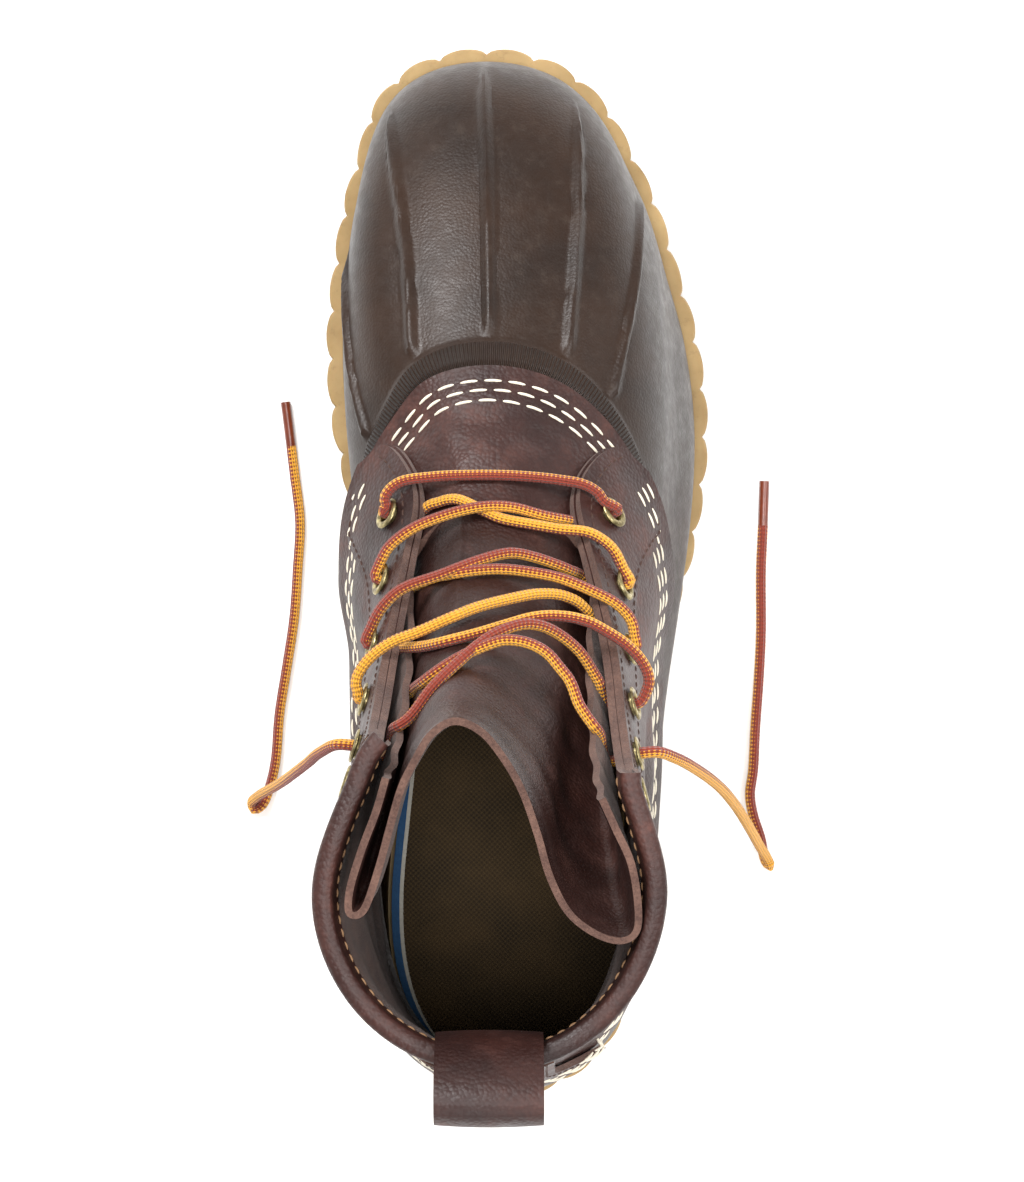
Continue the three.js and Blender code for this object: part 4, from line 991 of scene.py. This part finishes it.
# %% Rubber bottom
# The level where each rib starts, and its angle in degrees at levels 0.25, 0.58, 0.81 and 1.
RIBS = [
    (0.36, -43, -35.5, -36, -40.5), (0.22, -19.4, -14.3, -14, -18.6), (0.14, -0.5, -0.2, 0, 0.2),
    (0.22, 17.1, 15, 15, 17.9), (0.2, 38, 30, 27.7, 31),
]
toe_angles = np.radians(np.linspace(-72, 72, 260))
back_angles = np.radians(np.linspace(72, 288, 170))[1:-1]
angles = np.concatenate([toe_angles, back_angles])
angles = np.where(angles > math.pi, angles - 2 * math.pi, angles)
levels = np.concatenate([
    np.linspace(0, BAND_LEVEL - 0.012, 46), [BAND_LEVEL - 0.004, BAND_LEVEL + 0.004],
    np.linspace(BAND_LEVEL + 0.012, 0.984, 4), [0.992, 1.0, 1.05, RUBBER_TOP],
])
A, L = np.meshgrid(angles, levels)
spread = np.linalg.norm(surface(A + 0.01, L) - surface(A - 0.01, L), axis=-1) / 0.02
raised = np.zeros_like(A)
for start, *at_levels in RIBS:
    centre = np.radians(through([0.25, 0.58, 0.81, 1.0], at_levels, L))
    distance = np.abs(A - centre) * spread
    width = RIB_WIDTH / 2 * 1.25 * mix(0.35, 1, smooth(L, start, start + 0.25))
    ridge = np.cos(np.clip(distance / width, 0, 1) * math.pi / 2) ** 0.9
    shown = smooth(L, start, start + 0.15) * (1 - smooth(L, BAND_LEVEL - 0.035, BAND_LEVEL - 0.015))
    raised = np.maximum(raised, ridge * RIB_HEIGHT * shown)
band = smooth(L, BAND_LEVEL - 0.006, BAND_LEVEL + 0.006) * (1 - smooth(L, 0.984, 0.994))
outer = off_surface(A, L, raised + band * BAND_HEIGHT)
inner = off_surface(A, np.minimum(L, RUBBER_TOP), -RUBBER_WALL + 0 * A)
inner[0, :, 2] = outer[0, :, 2]
middle_levels = (levels[1:] + levels[:-1]) / 2
slot_rows = np.where((middle_levels > BAND_LEVEL) & (middle_levels < 0.99), 3, 0)
face_slots = np.repeat(slot_rows[:, None], len(angles), axis=1)
band_row = int(np.argmax(levels > BAND_LEVEL + 0.01))
outer_closed = np.concatenate([outer, outer[:, :1]], axis=1)
inner_closed = np.concatenate([inner, inner[:, :1]], axis=1)
points, faces, slots, uvs = sheet_parts(outer_closed, inner_closed, across=band_row, slots=face_slots)
finish = [RUBBER, RUBBER, RUBBER, MILLED]
make_piece("rubber_piece", ["rubber_bottom"], points, faces, finish, slots, uvs)

# %% [markdown]
# ## Quarters
# The shaft is two quarters, joined at the heel and sewn over the rubber. They could be unwrapped and
# cut as flat leather and bent by a simulation, but the boot's form already gives their bent shape. One
# sheet runs from one front edge round the heel to the other, with a real hole at each eyelet.


# %% Eyelet places
HOLE_RADIUS, HOLE_REACH = 3.0, 15


def eyelet_frame(side, row, distance=0.0):
    """The middle of an eyelet on the quarter's inner face, moved out, and its direction."""
    level, medial, lateral = EYELETS[row]
    angle = side * math.radians(medial if side < 0 else lateral)
    out = normals(angle, level)
    return surface(angle, level) + out * (quarter_stand(angle, level) + distance), out


def clear_of_eyelets(outer, side=None):
    """Which faces of a grid lie outside the eyelets' holes."""
    middle = (outer[1:, 1:] + outer[:-1, 1:] + outer[1:, :-1] + outer[:-1, :-1]) / 4
    keep = np.ones(middle.shape[:2], bool)
    for sign in SIDES.values():
        if side in (None, sign):
            for row in range(6):
                centre, out = eyelet_frame(sign, row)
                off = middle - centre
                depth = off @ out
                from_axis = np.linalg.norm(off - depth[..., None] * out, axis=-1)
                keep &= (from_axis > HOLE_RADIUS) | (np.abs(depth) > HOLE_REACH)
    return keep


# %% Quarters
def signed(angle):
    """The same angle, between minus half a turn and half a turn."""
    return np.where(angle > math.pi, angle - 2 * math.pi, angle)


levels = np.linspace(1, 2, 110)
share = np.linspace(0, 1, 270)
start, end = edge_angle(1, levels)[:, None], 2 * math.pi + edge_angle(-1, levels)[:, None]
A = signed(mix(start, end, share[None, :]))
L = np.repeat(levels[:, None], len(share), axis=1)
stand = quarter_stand(A, L) + shaft_relief(A, L)
outer, inner = off_surface(A, L, stand + LEATHER_WALL), off_surface(A, L, stand)
points, faces, slots, uvs = sheet_parts(outer, inner, keep=clear_of_eyelets(outer))
quarters = make_piece("quarters", ["upper"], points, faces, SHEET, slots, uvs)

# %% [markdown]
# ## Facings
# A strip of leather is sewn along each quarter's front edge, to hold the eyelets. It is the same kind
# of sheet as the quarter, measured back from the quarter's edge in millimetres, so that it keeps
# its width up the curved front.


# %% Facings
def walk_angles(side, level, lengths):
    """Angles at lengths in millimetres back from a quarter's front edge."""
    start = edge_angle(side, level) + side * 0.012
    fine = start + side * np.linspace(0, 1.2, 300)
    return np.interp(lengths, walked_along(surface(fine, level)), fine)


def facing_width(level):
    """A facing's width, in millimetres."""
    return 21 * mix(1.3, 1.0, smooth(level, 1.1, 1.8)) * mix(0.55, 1, smooth(level, 1.05, 1.1))


FACING_LOW, FACING_HIGH = 1.05, 1.93
facings = []
for name, side in SIDES.items():
    levels = np.linspace(FACING_LOW, FACING_HIGH, 96)
    A = np.array([walk_angles(side, level, np.linspace(0, facing_width(level), 26)) for level in levels])
    L = np.repeat(levels[:, None], 26, axis=1)
    if side < 0:
        A = A[:, ::-1]
    stand = facing_stand(A, L) + shaft_relief(A, L)
    outer = off_surface(A, L, stand + FACING_WALL)
    inner = off_surface(A, L, stand - LAYER_GAP - FACING_EASE + 0.05)
    points, faces, slots, uvs = sheet_parts(outer, inner, keep=clear_of_eyelets(outer, side))
    node = f"facing_{name}"
    facings.append(
        make_piece(f"facing_piece_{name}", [node], points, faces, SHEET, slots, uvs)
    )

# %% [markdown]
# ## Vamp and bellows tongue
# The vamp covers the instep and runs up into a tongue that is folded in along both quarters, so that
# water can't enter. Its folds could be left to a cloth simulation, but their free edge is the boldest
# line in the photograph. So a table gives each column of the tongue: where it leaves the vamp, and
# where its top lies, seen from above.

# %% Vamp and bellows tongue
levels = np.linspace(1, 1.32, 44)
angles = np.radians(np.linspace(-58, 58, 150))
A, L = np.meshgrid(angles, levels)
stand = vamp_stand(L) + folds(VAMP_FOLDS, A, L) * smooth(L, 1.02, 1.06) * (1 - smooth(L, 1.2, 1.28))
vamp = sheet_parts(off_surface(A, L, stand + LEATHER_WALL), off_surface(A, L, stand))

# Angle and stand where each column leaves the vamp, and its place from above at the top.
TONGUE = np.array([
    (-50, -1.4, -31.3, -49.5), (-53, -1.4, -33.6, -57.5), (-57, -1.4, -37, -66.5), (-60, -1.9, -39.8, -76),
    (-61.5, -3.3, -39.8, -81.5), (-60, -4.9, -36.4, -80.5), (-56, -5.3, -33, -71), (-50, -4.7, -30.4, -61.5),
    (-42, -3.3, -27.6, -52), (-33, -1.8, -24, -45), (-22, -1.6, -20.3, -39.5), (-8, -1.6, -14.9, -36.5),
    (6, -1.6, -8.6, -39), (18, -1.6, -3.1, -45.5), (30, -1.8, 1.1, -53), (38, -2.4, 4.6, -63),
    (44, -3.8, 7.5, -73), (50, -4.7, 12, -81.5), (56, -5.3, 18.5, -86.5), (60, -4.9, 24.5, -88),
    (61.5, -3.3, 28, -85.5), (60, -1.9, 28.2, -78.5), (57, -1.4, 26.6, -69.5), (53, -1.4, 23, -61.5),
    (50, -1.4, 19.8, -54.5),
])
knots = np.arange(len(TONGUE))
k = np.linspace(0, len(TONGUE) - 1, 220)
degrees, sink, top_x, top_y = (through(knots, TONGUE[:, i], k) for i in range(4))
share = np.linspace(0, 1, 64)[:, None]
A, sink = (np.repeat(row[None, :], len(share), axis=0) for row in (np.radians(degrees), sink))
middle = off_surface(A, mix(1.26, 2, share) + 0 * A, sink)
top = off_surface(A, 2 + 0 * A, sink)
ridge = np.exp(-(((degrees + 8) / 34) ** 2))[None, :]
middle[..., 0] += (top_x - top[..., 0]) * share**1.3
middle[..., 1] += (top_y - top[..., 1]) * share**1.3
middle[..., 2] += (2 + 8 * ridge) * share**2
buckle = 0.5 * np.sin(share * 21 + np.radians(degrees)[None, :] * 3) * ridge + 0.35 * np.sin(share * 47)
out = unit(np.cross(np.gradient(middle, axis=0), np.gradient(middle, axis=1)))
middle = middle + out * (buckle * smooth(share, 0.1, 0.3))[..., None]
folded = sheet_parts(middle + out * TONGUE_WALL / 2, middle - out * TONGUE_WALL / 2)
points, faces, slots, uvs = join_parts([vamp, folded])
slots = np.array(slots)
# The tongue's outside takes the darker copy of the leather, as painted shade.
slots[len(vamp[1]) :][np.array(folded[2]) == 0] = 3
finish = [*SHEET, SHADED_TONGUE_LEATHER]
tongue = make_piece("vamp_and_tongue", ["tongue"], points, faces, finish, slots, uvs)

# %% [markdown]
# ## Collar binding
# A strip of thin leather is rolled over the shaft's top edge and sewn through. Rows of points go up the
# outside, over the edge in half a turn and down the inside, which gives the roll its round top.

# %% Collar binding
BINDING_DEPTH = 8 / SHAFT_LENGTH
share = np.linspace(0, 1, 260)
start, end = edge_angle(1, 2.0), 2 * math.pi + edge_angle(-1, 2.0)
A = signed(mix(start, end, share))


def binding_grid(extra):
    """A grid over the collar, with extra thickness on the outside of the roll."""
    inside = quarter_stand(A, 2) - GAP - extra
    outside = quarter_stand(A, 2) + LEATHER_WALL + GAP + extra
    half, centre = (outside - inside) / 2, (outside + inside) / 2
    lines = []
    for level in np.linspace(2 - BINDING_DEPTH, 2, 6)[:-1]:
        lines.append(off_surface(A, level + 0 * A, outside))
    for turn in np.linspace(0, math.pi, 11):
        p = off_surface(A, 2 + 0 * A, centre + half * math.cos(turn))
        lines.append(p + UP * ((GAP + extra * 1.2) * math.sin(turn)))
    for level in np.linspace(2, 2 - BINDING_DEPTH, 6)[1:]:
        lines.append(off_surface(A, level + 0 * A, inside))
    return np.stack(lines)


points, faces, slots, uvs = sheet_parts(binding_grid(BINDING_WALL), binding_grid(0))
make_piece("binding_piece", ["collar_binding"], points, faces, SHEET, slots, uvs)

# %% [markdown]
# ## Backstay
# A strip of leather covers the heel seam, wide at the bottom and narrow above. It is a sheet that
# reaches as far to both sides of the heel line. Two functions give its width and how far it stands
# off, and its stitches and the pull loop ask them too.


# %% Backstay
BACKSTAY_WALL = 1.6


def backstay_reach(level):
    """Half the backstay's width in millimetres, and the millimetres in one radian there."""
    rate = np.linalg.norm(surface(math.pi, level) - surface(math.pi - 1, level), axis=-1)
    return mix(56, 26, smooth(level, 1, 1.25)) / 2, rate


def backstay_stand(angle, level):
    """How far the backstay stands off the form. It bridges the folds under it a little."""
    return facing_stand(angle, level) + shaft_relief(angle, level) * 0.6


levels = np.linspace(1, FACING_HIGH, 90)
half, rate = backstay_reach(levels)
A = signed(math.pi + np.linspace(-1, 1, 41)[None, :] * (half / rate)[:, None])
L = np.repeat(levels[:, None], 41, axis=1)
stand = backstay_stand(A, L)
outer, inner = off_surface(A, L, stand + BACKSTAY_WALL), off_surface(A, L, stand)
points, faces, slots, uvs = sheet_parts(outer[:, ::-1], inner[:, ::-1])
flipped = [list(face)[::-1] for face in faces]
make_piece("backstay_piece", ["backstay"], points, flipped, SHEET, slots, uvs)

# %% [markdown]
# ## Pull loop
# A leather strap is sewn inside the collar, stands up in a loop and is sewn to the backstay. It could be
# a bevelled curve, but a sheet swept along the loop's side view keeps its flat section and its cut
# edges. Its outer end is placed against the backstay.

# %% Pull loop
back = with_height(collar_line(np.array(math.pi)), collar_level(np.array(math.pi)))


def against_backstay(drop):
    """Where the strap's sewn end lies, that far below the collar, measured from the collar's back."""
    angle, level = np.array([math.pi]), np.array([2 - drop / SHAFT_LENGTH])
    clear = BACKSTAY_WALL + 1.4
    p = off_surface(angle, level, backstay_stand(angle, level) + clear)[0]
    return p[1] - back[1], p[2] - back[2]


# Places along Y and Z from the collar's back, from inside the collar to the backstay.
LOOP = [
    (-1.2, -38), (0.8, -24), (3.6, -9), (4.9, 0), (2.2, 13.2), (-4, 22.1), (-8.5, 24), (-12, 20.2),
    (-13, 12), (-11, 3.6),
    against_backstay(13), against_backstay(22), against_backstay(32),
]
STRAP_HALF = 12.75
ACROSS = np.array([1.0, 0, 0])
path, _ = curve_through([back + np.array([0, y, z]) for y, z in LOOP], 1.2)
rise = np.cross(unit(np.gradient(path, axis=0)), ACROSS)
across = np.linspace(-STRAP_HALF, STRAP_HALF, 22)
belly = 0.5 * (1 - (across / STRAP_HALF) ** 2)
strap = path[:, None, :] + across[None, :, None] * ACROSS
lifted = [strap + rise[:, None, :] * (belly + offset)[None, :, None] for offset in (0.8, -1.0)]
points, faces, slots, uvs = sheet_parts(*lifted)
make_piece("pull_strap", ["pull_loop"], points, faces, SHEET, slots, uvs)

# %% [markdown]
# ## Eyelets
# A brass eyelet is a tube whose front is rolled over into a ring. A lathe or screw modifier would turn
# its profile, and here the same is done with points, square to the leather at each hole.

# %% Eyelets
# Radius, and height above the facing.
profile = [
    (2.5, -3.6), (3.1, -3.6), (3.1, 0.45), (3.3, 0.62), (4.1, 0.62), (4.4, 0.8), (4.3, 1.1), (3.9, 1.35),
    (3.3, 1.45), (2.8, 1.3), (2.5, 0.9),
]
turns = np.linspace(0, 2 * math.pi, 41)[:-1]
for name, side in SIDES.items():
    for i in range(6):
        centre, out = eyelet_frame(side, i, STACK)
        first = unit(np.cross(out, UP))
        second = np.cross(out, first)
        ring = np.cos(turns)[:, None] * first + np.sin(turns)[:, None] * second
        points = np.concatenate([centre + ring * r + out * h for r, h in profile])
        n, rows = len(turns), len(profile)
        faces = []
        for r in range(rows):
            here, above = r * n, (r + 1) % rows * n
            faces += [[here + q, here + (q + 1) % n, above + (q + 1) % n, above + q] for q in range(n)]
        place = f"eyelet_{name}_{i + 1}"
        make_piece(f"rolled_{place}", [place], points, faces, [BRASS])

# %% [markdown]
# ## Insole
# The insole is foam with a woven cover, cut to the inside of the rubber and dished a little by the foot.
# Its grid runs from the medial to the lateral edge, so that the first rows can be the bare blue foam
# and its white line.

# %% Insole
INSOLE_THICKNESS, INSOLE_EASE, BLUE_ROWS = 4.5, 1.2, 2
angle = np.linspace(0.05, math.pi - 0.05, 150)
inset = SOLE_MARGIN + RUBBER_WALL + INSOLE_EASE
lateral = sole_line(angle) - outward(sole_line, angle) * inset
medial = sole_line(-angle) - outward(sole_line, -angle) * inset
t = np.linspace(0, 1, 60)[:, None, None]
grid = medial[None] * (1 - t) + lateral[None] * t
dish = 1.2 * (2 * t[..., 0] - 1) ** 2


def insole_face(height, dish_share):
    """A face of the insole, at a height above the rubber under it."""
    under = sole_top(share_of(grid[..., 1])) + 2 * GAP + RUBBER_WALL
    return with_height(grid, under + height + dish * dish_share)


points, faces, slots, uvs = sheet_parts(insole_face(INSOLE_THICKNESS, 1), insole_face(0, 0))
uvs = points[:, :2]
for i, face in enumerate(faces):
    row = min(face) // len(angle)
    if slots[i] == 0 and row <= BLUE_ROWS:
        slots[i] = 1 if row < BLUE_ROWS else 3
finish = [WEAVE, FOAM, FOAM, WHITE_EDGE]
insole = make_piece("insole_piece", ["insole"], points, faces, finish, slots, uvs)

# %% [markdown]
# ## Stitching
# Three white rows hold the leather to the rubber. Finer brown rows follow the facings and the
# backstay, and a tan row holds the binding. Stitches could be a picture or relief, but in the
# photograph each white one is plump and casts a shadow. So each is a short tube that dips into the
# leather at both ends. The rows ask the layers how far out they lie.


# %% Stitches
def level_up(angle, length):
    """The level that lies a length above the leather's lower edge."""
    low, high = 1.001, 1.03
    risen = np.linalg.norm(surface(angle, high + 0 * angle) - surface(angle, low + 0 * angle), axis=-1)
    return 1 + length / (risen / 0.029)


def over_facing(angle, level):
    """Where a row passes over a facing, and so through it."""
    found = np.zeros(len(angle), bool)
    for i, (a, l) in enumerate(zip(angle, level)):
        if abs(a) < math.radians(100) and FACING_LOW < l < FACING_HIGH:
            back = walk_angles(np.sign(a), l, np.array([facing_width(l)]))[0]
            found[i] = abs(a) < abs(back)
    return found


# Pitch, length, radius and how deep each sits, in millimetres.
BROWN_SIZE, TAN_SIZE = (2.9, 2.2, 0.32, 0.05), (3.2, 2.4, 0.34, 0.05)
ROWS_UP = (4.6, 7.6, 10.6)  # the white rows' places above the leather's lower edge
white, brown, tan = [], [], []
for length in ROWS_UP:
    angle = np.radians(np.linspace(-41.5, 41.5, 300))
    level = level_up(angle, length)
    fold = folds(VAMP_FOLDS, angle, level) * smooth(level, 1.02, 1.06)
    stand = vamp_stand(level) + LEATHER_WALL + fold
    white += stitch_parts(off_surface(angle, level, stand), normals(angle, level))
    angle = signed(np.linspace(math.radians(46), 2 * math.pi - math.radians(44.5), 900))
    level = level_up(angle, length + 1.8 * (1 - smooth(np.abs(angle), 1.9, 2.4)))
    under_backstay = np.abs(angle) > math.radians(180 - 27)
    stand = quarter_stand(angle, level) + LEATHER_WALL + shaft_relief(angle, level)
    stand = stand + under_backstay * (LAYER_GAP + FACING_EASE + BACKSTAY_WALL)
    stand = stand + over_facing(angle, level) * (STACK - LEATHER_WALL)
    white += stitch_parts(off_surface(angle, level, stand), normals(angle, level))
for side in SIDES.values():
    for back_by in (3.4, None):
        level = np.linspace(1.08, 1.92, 400)
        length = facing_width(level) - 2.0 if back_by is None else back_by + 0 * level
        angle = np.array([walk_angles(side, l, np.array([d]))[0] for l, d in zip(level, length)])
        stand = facing_stand(angle, level) + FACING_WALL + shaft_relief(angle, level)
        brown += stitch_parts(off_surface(angle, level, stand), normals(angle, level), *BROWN_SIZE)
    angle = np.linspace(edge_angle(side, 2.0) + side * 0.035, side * math.radians(177), 400)
    level = 2 - 6.2 / SHAFT_LENGTH + 0 * angle
    stand = quarter_stand(angle, level) + LEATHER_WALL + GAP + BINDING_WALL
    tan += stitch_parts(off_surface(angle, level, stand), normals(angle, level), *TAN_SIZE)
    stand = quarter_stand(angle, level) - GAP - BINDING_WALL
    tan += stitch_parts(off_surface(angle, level, stand), -normals(angle, level), *TAN_SIZE)
for side in SIDES.values():
    level = np.linspace(1.06, 1.92, 300)
    half, rate = backstay_reach(level)
    angle = signed(math.pi + side * (half - 2.0) / rate)
    stand = backstay_stand(angle, level) + BACKSTAY_WALL
    brown += stitch_parts(off_surface(angle, level, stand), normals(angle, level), *BROWN_SIZE)
for name, parts, thread in (
    ("white_stitches", white, WHITE_THREAD),
    ("brown_stitches", brown, BROWN_THREAD),
    ("tan_stitches", tan, TAN_THREAD),
):
    points, faces, slots, uvs = join_parts(parts)
    make_piece(name, [], points, faces, [thread], 0 * slots, uvs)
    print(name, len(parts), "stitches")

# %% [markdown]
# ## Lace through the eyelets
# The lace makes a bar at the bottom and four loose crossings. Drawn by hand in space, the strands
# would cut into the leather or float. So the photograph gives each strand's route from above, in
# pixels. A ray through each pixel finds the leather, and the strand is pulled taut over the highest
# places on its way, into the eyelets' holes or under a facing.

# %% Where the leather lies
leather_pieces = [quarters, tongue, *facings]
trees = [
    BVHTree.FromPolygons([v.co.copy() for v in o.data.vertices], [p.vertices[:] for p in o.data.polygons])
    for o in leather_pieces
]


def leather_height(px, py):
    """Height of the leather's top at a pixel, and how steep it is there."""
    origin = Vector(CAMERA * MM)
    ray = Vector(((px - CENTRE[0]) / FOCAL, -(py - CENTRE[1]) / FOCAL, -1)).normalized()
    hits = [tree.ray_cast(origin, ray) for tree in trees]
    hits = [(hit[0].z / MM, abs(hit[1].z)) for hit in hits if hit[0] is not None]
    return max(hits) if hits else (60.0, 1.0)


def taut(distance, height):
    """The upper hull of heights along a strand."""
    kept = []
    for point in zip(distance, height):
        while len(kept) > 1:
            (x1, y1), (x2, y2) = kept[-2:]
            if (y2 - y1) * (point[0] - x1) <= (point[1] - y1) * (x2 - x1):
                kept.pop()
            else:
                break
        kept.append(point)
    return np.interp(distance, [p[0] for p in kept], [p[1] for p in kept])


# %% Strands
def strand(route, first, last, lift=0.0, turn=0.0):
    """A strand along a route of pixels. First and last are (side, row, how): how it meets its eyelet.

    The turn, in whole turns, brings the red-brown or the golden band to the top.
    """
    pixels, _ = curve_through([(x, y, 0) for x, y in route], 3)
    heights = []
    for px, py, _ in pixels:
        z, steep = leather_height(px, py)
        heights.append(z + LACE_RADIUS / max(steep, 0.55) + 0.25)
    for at, (side, row, how) in ((0, first), (-1, last)):
        if how != "inside":
            inner, out = eyelet_frame(side, row)
            heights[at] = max(heights[at], (inner + out * (STACK + 2))[2])
    flat = walked_along(pixels[:, :2])
    z = taut(flat, np.array(heights)) + lift * np.sin(math.pi * flat / flat[-1])
    middle = pixel_at_height(pixels[:, 0], pixels[:, 1], z)

    def ending(side, row, how):
        inner, out = eyelet_frame(side, row)
        deep, face = inner - out * 3.0, inner + out * (STACK + 1.0)
        if how == "inside":
            return [deep]
        if how == "out":
            return [deep, face]
        return [inner + out * (STACK + 2.3), inner + out * (STACK - 0.5), deep]

    def trim(path, side, row, how):
        centre, out = eyelet_frame(side, row)
        reach = 6.0 if how == "over" else 9.0
        return path[np.linalg.norm(path - centre, axis=1) > reach]

    middle = trim(trim(middle, *first), *last)[::3]
    start, end = ending(*first)[::-1], ending(*last)
    path, _ = curve_through([*start, *middle, *end], 1.0)
    points, faces, slots, uvs = tube_parts(path, LACE_RADIUS)
    uvs[:, 0] += turn
    return points, faces, slots, uvs


# M is the medial side, the left of the photograph, and R the lateral side, its right. A strand starts
# "inside", under the facing, or goes "over" it into the hole, or comes "out" of the hole.
M, R = -1, 1
STRANDS = {
    "lace_bar": [
        ([(387, 510), (385, 497), (398, 483), (430, 477), (480, 475), (520, 476), (560, 480), (585, 485),
          (600, 495), (608, 512)], (M, 0, "over"), (R, 0, "over"), 0.0, -0.15),
    ],
    "lace_crossing_1": [
        ([(430, 505), (455, 499), (480, 509), (500, 518), (530, 524), (560, 529), (590, 533), (612, 548),
          (624, 570)], (M, 0, "inside"), (R, 1, "over"), 0.0, 0.5),
        ([(566, 520), (545, 516), (510, 507), (480, 507), (440, 517), (410, 530), (388, 548), (379, 565)],
         (R, 0, "inside"), (M, 1, "over"), 1.8, 0.5),
    ],
    "lace_crossing_2": [
        ([(435, 577), (470, 571), (500, 569), (530, 572), (560, 578), (590, 590), (618, 605), (632, 622),
          (635, 640)], (M, 1, "inside"), (R, 2, "over"), 0.0),
        ([(585, 577), (560, 566), (530, 556), (510, 553), (480, 560), (440, 575), (400, 590), (380, 610),
          (369, 632)], (R, 1, "inside"), (M, 2, "over"), 1.8, 0.5),
    ],
    "lace_crossing_3": [
        ([(400, 648), (425, 646), (455, 639), (482, 632), (505, 625), (535, 617), (560, 616), (586, 621),
          (606, 631), (627, 645), (643, 663), (649, 681), (641, 704)], (M, 2, "inside"), (R, 3, "over"), 0.0),
        ([(590, 615), (579, 603), (560, 595), (537, 594), (514, 598), (478, 607), (450, 618), (418, 632),
          (390, 643), (367, 661), (356, 681), (361, 702)], (R, 2, "inside"), (M, 3, "over"), 1.8, 0.12),
    ],
    "lace_crossing_4": [
        ([(602, 688), (592, 670), (579, 651), (560, 635), (542, 626), (524, 624), (501, 631), (482, 642),
          (455, 665), (432, 688), (409, 718), (388, 733)], (R, 3, "inside"), (M, 4, "out"), 1.8, 0.5),
        ([(415, 688), (439, 670), (462, 656), (487, 645), (505, 640), (528, 643), (547, 653), (560, 668),
          (570, 681), (579, 704), (588, 718), (599, 733)], (M, 3, "inside"), (R, 4, "out"), 0.0),
    ],
}
for name, strands in STRANDS.items():
    points, faces, slots, uvs = join_parts([strand(*given) for given in strands])
    make_piece(f"{name}_cord", [name], points, faces, [LACE], slots, uvs)

# %% [markdown]
# ## Studio
# The photograph has no floor to be seen and soft light from all round, brightest from its top left. A
# white floor and a white world give that, with four round soft lights: a key, a fill, one at the
# rear and one overhead. The lights stay where they are when the boot is seen from another side.

# %% Studio
floor_mesh = bpy.data.meshes.new("studio_floor")
reach = 3.0
corners = [(-reach, -reach, 0), (reach, -reach, 0), (reach, reach, 0), (-reach, reach, 0)]
floor_mesh.from_pydata(corners, [], [(0, 1, 2, 3)])
floor_material, floor_tree, floor_shader = start_material("white_floor", Roughness=0.9)
floor_shader.inputs["Base Color"].default_value = colour("#fbfbfa")
floor_mesh.materials.append(floor_material)
floor = bpy.data.objects.new("studio_floor", floor_mesh)
floor.location = (0, 0, -0.0002)
bpy.context.scene.collection.objects.link(floor)


def soft_light(name, place, size, power, aim=(0, 0, 0.08)):
    """A round soft light at a place in metres, of a power in watts, turned to the boot."""
    data = bpy.data.lights.new(name, "AREA")
    data.shape, data.size, data.energy = "DISK", size, power
    light = bpy.data.objects.new(name, data)
    light.location = place
    light.rotation_euler = (Vector(aim) - Vector(place)).to_track_quat("-Z", "Y").to_euler()
    bpy.context.scene.collection.objects.link(light)


soft_light("key_light", (-0.55, 0.95, 1.3), 0.6, 26)
soft_light("fill_light", (1.0, 0.2, 1.2), 0.9, 12)
soft_light("rear_light", (0.1, -1.2, 1.1), 0.9, 9)
soft_light("top_light", (0, -0.1, 1.9), 0.5, 16)
world = bpy.data.worlds.new("studio")
world.use_nodes = True
world.node_tree.nodes["Background"].inputs["Color"].default_value = colour("#ffffff")
world.node_tree.nodes["Background"].inputs["Strength"].default_value = 0.55
bpy.context.scene.world = world
bpy.context.scene.view_settings.view_transform = "Standard"
